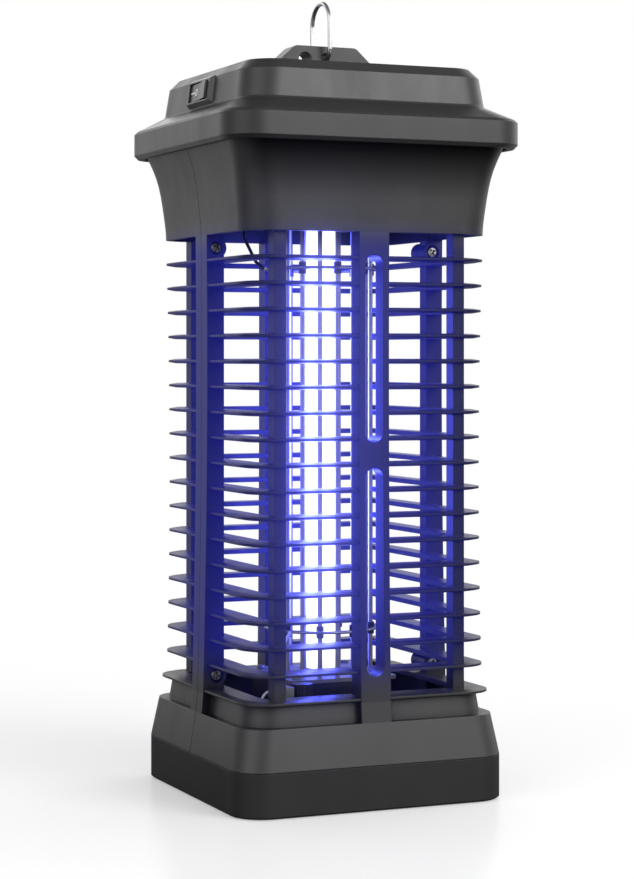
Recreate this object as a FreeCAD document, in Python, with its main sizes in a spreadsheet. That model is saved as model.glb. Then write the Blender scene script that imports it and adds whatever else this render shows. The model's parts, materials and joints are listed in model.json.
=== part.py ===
"""Electric bug zapper: hanging lantern with a finned housing, a wire cage and a UV tube.

Frame: +Z up, millimetres, origin on the floor under the middle of the housing.
The front of the housing faces -Y and the rocker switch is on the -X side of the cap.
"""
import FreeCAD, Part
import math
import os
import Sketcher
from FreeCAD import Placement, Rotation, Vector

DIMENSIONS = (
    # housing shell, split into a front and a rear half at Y = 0
    ("wall", 2.5),
    ("corner", 13.4),
    ("seam_gap", 0.15),
    ("skirt_z", 18.7),
    ("skirt_half", 59.7),
    ("shoulder_z", 35.5),
    ("shoulder_half", 56.9),
    ("step_low_half", 53.5),
    ("step_top_half", 52.4),
    ("step_wall", 3.4),
    ("flange_z", 43.8),
    ("flange_thick", 2.2),
    ("flange_half", 55.8),
    # fins, level 0 is the flange and level 18 the lower edge of the collar
    ("fin_first_z", 45.3),
    ("fin_pitch", 10.5),
    ("fin_count", 17),
    ("fin_thick", 2.0),
    ("nose_length", 3.2),
    ("nose_edge", 0.9),
    ("fin_depth", 11.0),
    ("fin_half", 53.4),
    ("fin_flare", 1.05),
    # upright posts
    ("post_face", 54.3),
    ("post_bow", 0.9),
    ("post_foot", 56.2),
    ("post_width", 13.2),
    ("post_depth", 7.4),
    ("rear_rib_depth", 4.0),
    ("slot_width", 8.0),
    ("slot_low_z", 54.0),
    ("slot_low_length", 84.5),
    ("slot_high_z", 149.0),
    ("slot_high_length", 76.0),
    ("corner_post_x", 40.0),
    ("corner_post_y", 47.8),
    ("corner_post_width", 5.0),
    ("corner_post_depth", 6.4),
    # collar
    ("collar_z", 234.3),
    ("collar_top_z", 272.0),
    ("collar_low_half", 54.6),
    ("collar_top_half", 61.6),
    ("rib_z", 243.6),
    ("rib_thick", 2.0),
    ("rib_half", 49.5),
    # top cover
    ("brim_z", 269.8),
    ("brim_half", 65.8),
    ("brim_corner", 15.0),
    ("brim_top_z", 281.8),
    ("cap_z", 287.2),
    ("cap_low_half", 54.9),
    ("cap_shoulder_z", 299.5),
    ("cap_shoulder_half", 53.4),
    ("cap_top_z", 303.4),
    ("cap_top_half", 49.8),
    ("rabbet_half", 62.2),
    ("cover_boss_at", 42.5),
    ("cover_boss_radius", 3.6),
    # hanging tab and ring
    ("tab_top_z", 315.6),
    ("tab_top_half", 14.0),
    ("tab_low_half", 27.4),
    ("tab_thick", 10.0),
    ("tab_round", 3.0),
    ("ring_hole_z", 310.9),
    ("ring_hole_radius", 1.9),
    ("ring_wire_radius", 1.0),
    ("ring_half", 9.4),
    ("ring_low_z", 310.3),
    ("ring_top_z", 334.5),
    ("ring_corner", 4.0),
    ("tie_hole_x", -9.4),
    ("tie_hole_z", 309.9),
    ("tie_hole_radius", 3.0),
    # decks
    ("upper_deck_z", 241.0),
    ("upper_deck_half", 52.0),
    ("deck_thick", 2.5),
    ("lower_deck_z", 30.8),
    ("lower_deck_half", 54.0),
    ("lower_deck_thick", 2.2),
    ("window_in", 27.0),
    ("window_out", 46.5),
    ("window_half", 19.0),
    ("deck_boss_at", 44.5),
    ("deck_boss_radius", 3.4),
    # killing grid
    ("wire_count", 18),
    ("wire_radius", 1.0),
    ("wire_phase", 5.5),
    ("cage_radius", 21.4),
    ("grid_ring_wire", 0.7),
    ("high_ring_z", 221.0),
    ("low_ring_z", 68.5),
    ("bead_radius", 1.6),
    ("bead_length", 5.0),
    ("low_plate_top_z", 49.5),
    ("insulator_half", 24.5),
    ("insulator_thick", 1.6),
    ("insulator_corner", 2.0),
    ("wire_seat", 1.0),
    ("insulator_screw_at", 19.6),
    # lamp base box
    ("base_box_half", 22.6),
    ("base_box_wall", 1.8),
    ("base_box_pillar", 2.6),
    # lamp
    ("lamp_radius", 6.3),
    ("lamp_glass", 0.8),
    ("lamp_low_z", 42.0),
    ("lamp_length", 206.0),
    ("lamp_cap_radius", 6.6),
    ("lamp_cap_length", 9.0),
    ("pin_spacing", 4.8),
    ("pin_radius", 1.1),
    ("pin_length", 6.0),
    ("holder_radius", 10.0),
    ("holder_bore", 6.9),
    ("holder_body", 9.0),
    # catch tray
    ("foot_height", 0.4),
    ("foot_radius", 5.0),
    ("foot_inset", 1.0),
    ("foot_at", 46.0),
    ("tray_floor", 2.2),
    ("tray_chamfer", 0.7),
    ("tray_top_z", 18.5),
    ("lip_half", 56.2),
    ("lip_thick", 1.8),
    ("lip_height", 3.0),
    ("snap_width", 16.0),
    ("snap_height", 6.5),
    ("snap_thick", 1.8),
    # screws
    ("screw_radius", 1.5),
    ("screw_clearance", 1.7),
    ("head_radius", 2.7),
    ("head_height", 2.0),
    ("case_screw_x", 50.0),
    ("case_boss_radius", 4.2),
    ("case_screw_low_z", 51.0),
    ("case_screw_high_z", 229.0),
    ("case_screw_length", 9.0),
    ("deck_screw_length", 10.0),
    ("cover_screw_length", 14.0),
    ("small_screw_radius", 1.1),
    ("small_head_radius", 2.0),
    ("small_head_height", 1.2),
    ("small_screw_length", 6.0),
    # circuit board
    ("board_z", 262.0),
    ("board_thick", 1.6),
    ("board_length", 88.0),
    ("board_width", 66.0),
    ("standoff_x", 36.0),
    ("standoff_y", 26.0),
    ("standoff_radius", 3.2),
    # parts on the circuit board
    ("core_x", 20.0),
    ("core_length", 24.0),
    ("core_width", 20.0),
    ("core_height", 18.0),
    ("core_limb", 5.0),
    ("coil_width", 24.0),
    ("coil_gap", 0.1),
    ("can_x", -8.0),
    ("can_pitch", 12.0),
    ("can_radius", 4.5),
    ("can_height", 13.0),
    ("filter_x", -22.0),
    ("filter_y", 14.0),
    ("filter_radius", 5.5),
    ("filter_height", 16.0),
    ("diode_x", -26.0),
    ("diode_y", -20.0),
    ("diode_pitch", 5.0),
    ("diode_radius", 1.3),
    ("diode_length", 6.0),
    ("block_height", 9.0),
    ("mains_block_x", -38.0),
    ("mains_block_y", 4.0),
    ("mains_block_length", 8.0),
    ("mains_block_width", 20.0),
    ("lamp_block_x", 40.0),
    ("lamp_block_y", -14.0),
    ("lamp_block_length", 7.0),
    ("lamp_block_width", 16.0),
    # rocker switch, tilted with the side of the cap
    ("face_tilt", 7.43),
    ("face_x", -54.09),
    ("face_z", 294.2),
    ("face_gap", 0.02),
    ("bezel_length", 28.0),
    ("bezel_width", 12.0),
    ("bezel_proud", 2.0),
    ("bezel_slope", 1.4),
    ("bezel_corner", 0.6),
    ("switch_body_length", 24.4),
    ("switch_body_width", 9.6),
    ("switch_body_depth", 15.0),
    ("rocker_length", 20.4),
    ("rocker_width", 7.4),
    ("rocker_tilt", 5.0),
    ("rocker_rise", 0.6),
    ("rocker_edge_low", 0.6),
    ("rocker_edge_high", 1.5),
    ("rocker_dip", 1.1),
    ("rocker_flank_in", 1.4),
    ("rocker_flank_z", -3.6),
    ("rocker_keel_half", 2.2),
    ("rocker_keel_z", -5.2),
    ("switch_wall", 1.0),
    ("tag_pitch", 5.0),
    ("tag_thick", 0.8),
    ("tag_width", 3.0),
    ("tag_length", 5.0),
    # mains inlet at the back of the cap
    ("inlet_length", 22.0),
    ("inlet_width", 11.0),
    ("inlet_proud", 1.4),
    ("inlet_body_length", 18.4),
    ("inlet_body_width", 8.6),
    ("inlet_depth", 15.0),
    ("inlet_pin_spacing", 8.6),
    ("inlet_pin_radius", 1.2),
    ("inlet_bore", 3.4),
    ("inlet_floor", 2.0),
    ("inlet_pin_tail", 4.0),
    # parts on the lower deck
    ("ribbed_x", -21.0),
    ("ribbed_y", -29.2),
    ("ribbed_radius", 4.3),
    ("ribbed_height", 16.0),
    ("rib_count", 16),
    ("terminal_x", -28.2),
    ("terminal_width", 3.6),
    ("terminal_depth", 8.0),
    ("terminal_height", 15.2),
    ("shelf_length", 18.0),
    ("shelf_width", 13.0),
    # wiring
    ("box_lead_x", 13.0),
    ("box_lead_z", 36.4),
    ("grid_lead_x", -32.0),
    ("grid_lead_y", 8.0),
    ("sleeve_x", 35.0),
    ("sleeve_y", 40.2),
    ("sleeve_radius", 2.0),
    ("sleeve_wall", 0.4),
    ("lead_radius", 0.7),
    ("earth_lead_radius", 0.5),
)

doc = FreeCAD.newDocument("bug_zapper")
dims = doc.addObject("Spreadsheet::Sheet", "dims")
for row, (alias, number) in enumerate(DIMENSIONS, start=1):
    dims.set(f"A{row}", alias)
    dims.set(f"B{row}", str(number))
    dims.setAlias(f"B{row}", alias)
doc.recompute()
SIZE = dict(DIMENSIONS)
NODES = []


# ---------------------------------------------------------------- helpers
def number(formula):
    """Present value of a formula over the sheet's cells, used to place starting geometry."""
    return float(doc.getObject("probe").evalExpression(formula))


def bind(target, **formulas):
    """Bind properties to formulas; an underscore in a keyword stands for a dot in the path."""
    for path, formula in formulas.items():
        target.setExpression(path.replace("_", "."), formula)


def place(target, x, y, z):
    bind(target, Placement_Base_x=x, Placement_Base_y=y, Placement_Base_z=z)


def node(target, label):
    target.Label = label
    NODES.append(target)
    return target


def box(name, x, y, z, length, width, height):
    """Box standing on z, centred on x and y."""
    solid = doc.addObject("Part::Box", name)
    bind(solid, Length=length, Width=width, Height=height)
    place(solid, f"({x}) - ({length}) / 2", f"({y}) - ({width}) / 2", z)
    return solid


def rod(name, x, y, z, radius, length, axis="Z"):
    """Cylinder that starts at x, y, z and runs along +axis."""
    solid = doc.addObject("Part::Cylinder", name)
    turns = {"X": Rotation(Vector(0, 1, 0), 90), "Y": Rotation(Vector(1, 0, 0), -90), "Z": Rotation()}
    solid.Placement = Placement(Vector(), turns[axis])
    bind(solid, Radius=radius, Height=length)
    place(solid, x, y, z)
    return solid


def join(name, solids):
    fused = doc.addObject("Part::MultiFuse", name)
    fused.Shapes = solids
    return fused


def group(name, solids):
    """Separate solids kept together as one sub-part."""
    compound = doc.addObject("Part::Compound", name)
    compound.Links = solids
    return compound


def cut(name, base, tools):
    result = doc.addObject("Part::Cut", name)
    result.Base = base
    result.Tool = tools[0] if len(tools) == 1 else join(name + "_tools", tools)
    return result


def screw(name, x, y, z, length, axis="Z", small=False):
    """Pan head at x, y, z, with the shank running along +axis from under the head."""
    kind = "small_" if small else ""
    head_radius = "dims.small_head_radius" if small else "dims.head_radius"
    head_height = f"dims.{kind}head_height"
    head = rod(name + "_head", x, y, z, head_radius, head_height, axis)
    start = {"X": (f"{x} + {head_height}", y, z), "Y": (x, f"{y} + {head_height}", z),
             "Z": (x, y, f"{z} + {head_height}")}[axis]
    shank = rod(name + "_shank", *start, f"dims.{kind}screw_radius", length, axis)
    return join(name, [head, shank])


def corners(at_x, at_y):
    return [(f"{sx} * {at_x}", f"{sy} * {at_y}") for sx in (1, -1) for sy in (1, -1)]


def new_body(name):
    return doc.addObject("PartDesign::Body", name)


def new_sketch(body, name, role="XY_Plane", offset="0"):
    sketch = body.newObject("Sketcher::SketchObject", name)
    plane = next(item for item in body.Origin.OriginFeatures if item.Role == role)
    sketch.AttachmentSupport = [(plane, "")]
    sketch.MapMode = "FlatFace"
    sketch.setExpression("AttachmentOffset.Base.z", offset)
    return sketch


def constrain(sketch, kind, *arguments, formula):
    index = sketch.addConstraint(Sketcher.Constraint(kind, *arguments, number(formula)))
    sketch.setExpression(f"Constraints[{index}]", formula)


def draw_rounded(sketch, half_x, half_y, radius):
    """Rounded rectangle centred on the sketch origin."""
    hx, hy, r = number(half_x), number(half_y), number(radius)
    first = sketch.GeometryCount
    sides = (((r - hx, -hy), (hx - r, -hy)), ((hx, r - hy), (hx, hy - r)),
             ((hx - r, hy), (r - hx, hy)), ((-hx, hy - r), (-hx, r - hy)))
    for (x0, y0), (x1, y1) in sides:
        sketch.addGeometry(Part.LineSegment(Vector(x0, y0, 0), Vector(x1, y1, 0)))
    middles = ((hx - r, r - hy), (hx - r, hy - r), (r - hx, hy - r), (r - hx, r - hy))
    for quarter, (x, y) in enumerate(middles):
        start = (quarter - 1) * math.pi / 2
        circle = Part.Circle(Vector(x, y, 0), Vector(0, 0, 1), r)
        sketch.addGeometry(Part.ArcOfCircle(circle, start, start + math.pi / 2))
    for side in range(4):
        line, arc = first + side, first + 4 + side
        following = first + (side + 1) % 4
        sketch.addConstraint(Sketcher.Constraint("Tangent", line, 2, arc, 1))
        sketch.addConstraint(Sketcher.Constraint("Tangent", arc, 2, following, 1))
        direction = "Horizontal" if side % 2 == 0 else "Vertical"
        sketch.addConstraint(Sketcher.Constraint(direction, line))
    for arc in range(first + 5, first + 8):
        sketch.addConstraint(Sketcher.Constraint("Equal", first + 4, arc))
    constrain(sketch, "Radius", first + 4, formula=radius)
    constrain(sketch, "DistanceY", -1, 1, first, 1, formula=f"-({half_y})")
    constrain(sketch, "DistanceX", -1, 1, first + 1, 1, formula=half_x)
    constrain(sketch, "DistanceY", -1, 1, first + 2, 1, formula=half_y)
    constrain(sketch, "DistanceX", -1, 1, first + 3, 1, formula=f"-({half_x})")


def draw_outline(sketch, points, arcs=()):
    """Closed outline through points; a side named in arcs is (index, radius formula, centre side)."""
    first = sketch.GeometryCount
    spots = [Vector(number(x), number(y), 0) for x, y in points]
    bends = {index: (radius, side) for index, radius, side in arcs}
    ends = []
    for index, start in enumerate(spots):
        end = spots[(index + 1) % len(spots)]
        if index not in bends:
            sketch.addGeometry(Part.LineSegment(start, end))
            ends.append((1, 2))
            continue
        radius, side = bends[index]
        chord = end - start
        bow = number(radius) - math.sqrt(number(radius) ** 2 - (chord.Length / 2) ** 2)
        sideways = Vector(-chord.y, chord.x, 0).normalize() * (-side)
        arc = Part.Arc(start, (start + end) / 2 + sideways * bow, end)
        sketch.addGeometry(arc)
        ends.append((1, 2) if side > 0 else (2, 1))
    for index in range(len(spots)):
        after = (index + 1) % len(spots)
        pair = (first + index, ends[index][1], first + after, ends[after][0])
        sketch.addConstraint(Sketcher.Constraint("Coincident", *pair))
    for index, (x, y) in enumerate(points):
        constrain(sketch, "DistanceX", -1, 1, first + index, ends[index][0], formula=x)
        constrain(sketch, "DistanceY", -1, 1, first + index, ends[index][0], formula=y)
    for index, (radius, side) in bends.items():
        constrain(sketch, "Radius", first + index, formula=radius)


def draw_rectangle(sketch, x0, x1, y0, y1):
    draw_outline(sketch, [(x0, y0), (x1, y0), (x1, y1), (x0, y1)])


def draw_circle(sketch, x, y, radius):
    spot = Vector(number(x), number(y), 0)
    index = sketch.addGeometry(Part.Circle(spot, Vector(0, 0, 1), number(radius)))
    constrain(sketch, "Radius", index, formula=radius)
    constrain(sketch, "DistanceX", -1, 1, index, 3, formula=x)
    constrain(sketch, "DistanceY", -1, 1, index, 3, formula=y)


def rounded_at(body, name, z, half, radius="dims.corner"):
    sketch = new_sketch(body, name, offset=z)
    draw_rounded(sketch, half, half, radius)
    return sketch


def extrude(body, kind, sketch, length, symmetric=False, backwards=False):
    feature = body.newObject(f"PartDesign::{kind}", f"{sketch.Name}_{kind.lower()}")
    feature.Profile = sketch
    feature.SideType = "Symmetric" if symmetric else "One side"
    feature.Reversed = backwards
    feature.Refine = False
    feature.setExpression("Length", length)
    return feature


def loft(body, kind, sections, ruled=True):
    feature = body.newObject(f"PartDesign::{kind}", f"{sections[0].Name}_loft")
    feature.Profile = sections[0]
    feature.Sections = sections[1:]
    feature.Ruled = ruled
    return feature


# ---------------------------------------------------------------- housing shell
def add_skirt(body):
    """Base skirt with a shoulder, a recessed step above it and the flange on top."""
    skirt = [rounded_at(body, "skirt_low", "dims.skirt_z", "dims.skirt_half"),
             rounded_at(body, "skirt_high", "dims.shoulder_z", "dims.shoulder_half")]
    loft(body, "AdditiveLoft", skirt)
    step = [rounded_at(body, "step_low", "dims.shoulder_z", "dims.step_low_half"),
            rounded_at(body, "step_high", "dims.flange_z", "dims.step_top_half")]
    loft(body, "AdditiveLoft", step)
    nosed_plate(body, "flange", "dims.flange_z + dims.flange_thick / 2", "dims.flange_half",
                "dims.flange_thick")
    inner_radius = "dims.corner - dims.wall"
    under = [rounded_at(body, "under_low", "dims.skirt_z", "dims.skirt_half - dims.wall", inner_radius),
             rounded_at(body, "under_high", "dims.shoulder_z - dims.wall",
                        "dims.shoulder_half - dims.wall", inner_radius)]
    loft(body, "SubtractiveLoft", under)
    room = rounded_at(body, "step_room", "dims.shoulder_z - dims.wall",
                      "dims.step_low_half - dims.step_wall", "dims.corner - dims.step_wall")
    extrude(body, "Pocket", room, "dims.flange_z - dims.shoulder_z + dims.wall", backwards=True)
    opening = rounded_at(body, "flange_opening", "dims.flange_z", "dims.flange_half - dims.fin_depth",
                         "dims.corner - dims.fin_depth + 1")
    extrude(body, "Pocket", opening, "dims.flange_thick", backwards=True)


POST_SPAN = "(dims.collar_z - dims.flange_z)"
POST_ARC = f"({POST_SPAN}^2 / 4 + dims.post_bow^2) / (2 * dims.post_bow)"


def draw_post(sketch, side, depth):
    """Side view of a post: bowed face flush with the collar, and a foot that spreads to the shoulder."""
    back = f"(dims.post_face - {depth})"
    behind_collar = "(dims.collar_low_half - 1)"
    top = "dims.collar_z + 6"
    points = [(f"{side} * dims.shoulder_half", "dims.shoulder_z - 1"),
              (f"{side} * dims.shoulder_half", "dims.shoulder_z"),
              (f"{side} * dims.post_foot", "dims.flange_z"),
              (f"{side} * dims.collar_low_half", "dims.collar_z"),
              (f"{side} * {behind_collar}", "dims.collar_z"),
              (f"{side} * {behind_collar}", top),
              (f"{side} * {back}", top),
              (f"{side} * {back}", "dims.shoulder_z - 1")]
    draw_outline(sketch, points, arcs=[(2, POST_ARC, -side)])


def add_posts(body):
    """Slotted centre posts front and rear, split side posts, and four corner posts."""
    half_width = "dims.post_width / 2"
    for name, side in (("front", -1), ("rear", 1)):
        sketch = new_sketch(body, f"{name}_post", "YZ_Plane")
        draw_post(sketch, side, "dims.post_depth")
        extrude(body, "Pad", sketch, "dims.post_width", symmetric=True)
    for name, side in (("left", -1), ("right", 1)):
        for part, y_side, depth in (("front", 1, "dims.post_depth"), ("rear", -1, "dims.rear_rib_depth")):
            sketch = new_sketch(body, f"{name}_{part}_rail", "XZ_Plane", f"{y_side} * dims.post_width / 4")
            draw_post(sketch, side, depth)
            extrude(body, "Pad", sketch, half_width, symmetric=True)
    for index, (x, y) in enumerate(corners("dims.corner_post_x", "dims.corner_post_y")):
        sketch = new_sketch(body, f"corner_post_{index}", offset="dims.flange_z")
        draw_rectangle(sketch, f"{x} - dims.corner_post_width / 2", f"{x} + dims.corner_post_width / 2",
                       f"{y} - dims.corner_post_depth / 2", f"{y} + dims.corner_post_depth / 2")
        extrude(body, "Pad", sketch, "dims.collar_z - dims.flange_z + 4")


def nosed_plate(body, name, z, half, thick):
    """Square plate centred on z; both faces slope to a thin edge all round."""
    levels = ((f"-({thick}) / 2", "dims.nose_length"), ("-dims.nose_edge / 2", "0"),
              ("dims.nose_edge / 2", "0"), (f"({thick}) / 2", "dims.nose_length"))
    return loft(body, "AdditiveLoft", [rounded_at(body, f"{name}_{i}", f"{z} + ({rise})", f"{half} - {inset}",
                                                  f"dims.corner - {inset}")
                                       for i, (rise, inset) in enumerate(levels)])


def build_fins():
    """Stack of thin frames; the outline is waisted, so the half width follows a parabola."""
    middle = SIZE["fin_count"] / 2
    fins = []
    for level in range(1, SIZE["fin_count"] + 1):
        away = f"({(level - middle) / middle:.4f})"
        half = f"(dims.fin_half + dims.fin_flare * {away}^2)"
        z = f"dims.fin_first_z + {level} * dims.fin_pitch"
        fin = new_body(f"fin_{level:02d}")
        nosed_plate(fin, f"fin_{level:02d}_outline", z, half, "dims.fin_thick")
        opening = rounded_at(fin, f"fin_{level:02d}_opening", z, f"{half} - dims.fin_depth",
                             "dims.corner - dims.fin_depth + 1")
        extrude(fin, "Pocket", opening, "2 * dims.fin_thick", symmetric=True)
        fins.append(fin)
    return fins


# share of the collar's height, share of its flare
COLLAR_CURVE = ((0.0, 0.0), (0.24, 0.09), (0.48, 0.24), (0.73, 0.5), (0.90, 0.8), (1.0, 1.0))


def collar_sections(body, name, inset):
    rise = "(dims.collar_top_z - dims.collar_z)"
    flare = "(dims.collar_top_half - dims.collar_low_half)"
    return [rounded_at(body, f"{name}_{index}", f"dims.collar_z + {height} * {rise}",
                       f"dims.collar_low_half + {out} * {flare} - {inset}", f"dims.corner - {inset}")
            for index, (height, out) in enumerate(COLLAR_CURVE)]


def add_collar(body):
    """Flared cove that carries the cover, with an inner rib over the upper deck."""
    loft(body, "AdditiveLoft", collar_sections(body, "collar", "0"), ruled=False)
    loft(body, "SubtractiveLoft", collar_sections(body, "collar_room", "dims.wall"), ruled=False)
    rib = rounded_at(body, "collar_rib", "dims.rib_z", "dims.collar_low_half - 1")
    draw_rounded(rib, "dims.rib_half", "dims.rib_half", "dims.corner - 4")
    extrude(body, "Pad", rib, "dims.rib_thick")


def slot_tool(name, z, length):
    """Round-ended slot through the front and rear centre posts."""
    radius = "dims.slot_width / 2"
    middle = box(f"{name}_mid", "0", "0", f"{z} + {radius}", "dims.slot_width", "4 * dims.post_face",
                 f"{length} - dims.slot_width")
    low = rod(f"{name}_low", "0", "-2 * dims.post_face", f"{z} + {radius}", radius, "4 * dims.post_face", "Y")
    high = rod(f"{name}_high", "0", "-2 * dims.post_face", f"{z} + {length} - {radius}", radius,
               "4 * dims.post_face", "Y")
    return [middle, low, high]


CASE_SCREWS = [(f"{side} * dims.case_screw_x", z) for side in (-1, 1)
               for z in ("dims.case_screw_low_z", "dims.case_screw_high_z")]


def half_shell(name, blank, side):
    """Half of the shell on one side of the seam, with screw bosses and holes."""
    front = side < 0
    reach = "dims.post_width / 2"
    start = f"-{reach}" if front else "dims.seam_gap"
    length = f"{reach} - dims.seam_gap"
    bosses = [rod(f"{name}_boss_{i}", x, start, z, "dims.case_boss_radius", length, "Y")
              for i, (x, z) in enumerate(CASE_SCREWS)]
    bosses += [rod(f"{name}_deck_boss_{i}", f"{sx} * dims.deck_boss_at", f"{side} * dims.deck_boss_at",
                   "dims.shoulder_z - dims.wall", "dims.deck_boss_radius",
                   "dims.flange_z - dims.shoulder_z + dims.wall + 0.5") for i, sx in enumerate((-1, 1))]
    depth = "2 * dims.brim_half"
    away = box(f"{name}_away", "0", f"{-side} * (dims.brim_half - dims.seam_gap)", "0",
               "3 * dims.brim_half", depth, "dims.tab_top_z")
    solid = join(f"{name}_solid", [cut(f"{name}_cut", blank, [away])] + bosses)
    holes = slot_tool(f"{name}_slot_a", "dims.slot_low_z", "dims.slot_low_length")
    holes += slot_tool(f"{name}_slot_b", "dims.slot_high_z", "dims.slot_high_length")
    bore = "dims.screw_clearance" if front else "dims.screw_radius"
    for i, (x, z) in enumerate(CASE_SCREWS):
        holes.append(rod(f"{name}_hole_{i}", x, start, z, bore, "dims.post_width / 2 - 1", "Y"))
        if front:
            holes.append(rod(f"{name}_hole_out_{i}", x, "-2", z, bore, "3", "Y"))
            holes.append(rod(f"{name}_recess_{i}", x, f"{start} - 2", z, "dims.head_radius + 0.2",
                             "dims.head_height + 2.4", "Y"))
    for i, sx in enumerate((-1, 1)):
        holes.append(rod(f"{name}_deck_hole_{i}", f"{sx} * dims.deck_boss_at", f"{side} * dims.deck_boss_at",
                         "dims.shoulder_z - dims.wall - 1", "dims.screw_radius", "dims.deck_screw_length - 1"))
    return node(cut(name, solid, holes), name)


def build_shells():
    body = new_body("shell_blank")
    add_skirt(body)
    add_posts(body)
    add_collar(body)
    blank = join("shell_with_fins", [body] + build_fins())
    half_shell("front_shell", blank, -1)
    half_shell("rear_shell", blank, 1)


# ---------------------------------------------------------------- top cover
def build_top_cover():
    """Brim, sloped ledge and cap in one moulding, hollow below, with the hanging tab on top."""
    body = new_body("cover_blank")
    big = "dims.brim_corner"
    outside = [rounded_at(body, "brim_0", "dims.brim_z", "dims.brim_half - 1.2", big),
               rounded_at(body, "brim_1", "dims.brim_z + 1.6", "dims.brim_half", big),
               rounded_at(body, "brim_2", "dims.brim_top_z - 1.2", "dims.brim_half", big),
               rounded_at(body, "brim_3", "dims.brim_top_z", "dims.brim_half - 0.9", big),
               rounded_at(body, "ledge_top", "dims.cap_z", "dims.cap_low_half + 0.5", "dims.corner"),
               rounded_at(body, "cap_0", "dims.cap_z + 0.8", "dims.cap_low_half", "dims.corner"),
               rounded_at(body, "cap_1", "dims.cap_shoulder_z", "dims.cap_shoulder_half", "dims.corner"),
               rounded_at(body, "cap_2", "dims.cap_top_z", "dims.cap_top_half", "dims.corner - 2")]
    loft(body, "AdditiveLoft", outside)
    rabbet = rounded_at(body, "rabbet", "dims.brim_z", "dims.rabbet_half", "dims.corner + 0.6")
    extrude(body, "Pocket", rabbet, "dims.collar_top_z - dims.brim_z", backwards=True)
    narrow = "dims.corner - dims.wall"
    inside = [rounded_at(body, "room_0", "dims.collar_top_z", "dims.rabbet_half - 2.8", narrow),
              rounded_at(body, "room_1", "dims.brim_top_z - 1.8", "dims.rabbet_half - 2.8", narrow),
              rounded_at(body, "room_2", "dims.cap_z - 2", "dims.cap_low_half - dims.wall", narrow),
              rounded_at(body, "room_3", "dims.cap_shoulder_z", "dims.cap_shoulder_half - dims.wall", narrow),
              rounded_at(body, "room_4", "dims.cap_top_z - dims.wall", "dims.cap_top_half - 0.6", narrow)]
    loft(body, "SubtractiveLoft", inside)
    tab = new_sketch(body, "tab", "XZ_Plane")
    draw_outline(tab, [("-dims.tab_low_half - 1", "dims.cap_top_z - 1"),
                       ("dims.tab_low_half + 1", "dims.cap_top_z - 1"),
                       ("dims.tab_top_half", "dims.tab_top_z"), ("-dims.tab_top_half", "dims.tab_top_z")])
    tab_pad = extrude(body, "Pad", tab, "dims.tab_thick", symmetric=True)
    doc.recompute()
    top_corners = [f"Edge{i}" for i, edge in enumerate(tab_pad.Shape.Edges, start=1)
                   if all(abs(v.Z - SIZE["tab_top_z"]) < 0.01 for v in edge.Vertexes)
                   and abs(edge.Vertexes[0].X - edge.Vertexes[-1].X) < 0.01]
    rounding = body.newObject("PartDesign::Fillet", "tab_rounding")
    rounding.Base = (tab_pad, top_corners)
    rounding.setExpression("Radius", "dims.tab_round")
    holes = new_sketch(body, "tab_holes", "XZ_Plane")
    draw_circle(holes, "0", "dims.ring_hole_z", "dims.ring_hole_radius")
    draw_circle(holes, "dims.tie_hole_x", "dims.tie_hole_z", "dims.tie_hole_radius")
    extrude(body, "Pocket", holes, "dims.tab_thick + 2", symmetric=True)
    low = "dims.upper_deck_z + dims.deck_thick"
    bosses = [rod(f"cover_boss_{i}", x, y, low, "dims.cover_boss_radius",
                  f"dims.cap_top_z - dims.wall + 0.5 - ({low})")
              for i, (x, y) in enumerate(corners("dims.cover_boss_at", "dims.cover_boss_at"))]
    pilots = [rod(f"cover_pilot_{i}", x, y, low, "dims.screw_radius", "dims.cover_screw_length")
              for i, (x, y) in enumerate(corners("dims.cover_boss_at", "dims.cover_boss_at"))]
    openings = [on_side_face(box("switch_opening", "0", "0", "-dims.switch_body_depth",
                                 "dims.switch_body_width", "dims.switch_body_length",
                                 "dims.switch_body_depth + 4"), "left"),
                on_side_face(box("inlet_opening", "0", "0", "-dims.inlet_depth", "dims.inlet_body_width",
                                 "dims.inlet_body_length", "dims.inlet_depth + 4"), "rear")]
    node(cut("top_cover", join("cover_solid", [body] + bosses), pilots + openings), "top_cover")


def on_side_face(solid, side):
    """Move a solid modelled about the origin, with local +Z outwards, onto a sloped cap side.

    Local Y runs along the side and local X points up its slope.
    """
    tilt = Rotation(Vector(0, 1, 0), SIZE["face_tilt"] - 90)
    turn = {"left": Rotation(), "rear": Rotation(Vector(0, 0, 1), -90)}[side]
    spot = turn.multVec(Vector(SIZE["face_x"], 0, SIZE["face_z"]))
    wrapper = doc.addObject("Part::Compound", solid.Name + "_on_face")
    wrapper.Links = [solid]
    wrapper.Placement = Placement(spot, turn.multiply(tilt))
    x, y = {"left": ("dims.face_x", "0"), "rear": ("0", "-dims.face_x")}[side]
    place(wrapper, x, y, "dims.face_z")
    return wrapper


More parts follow.
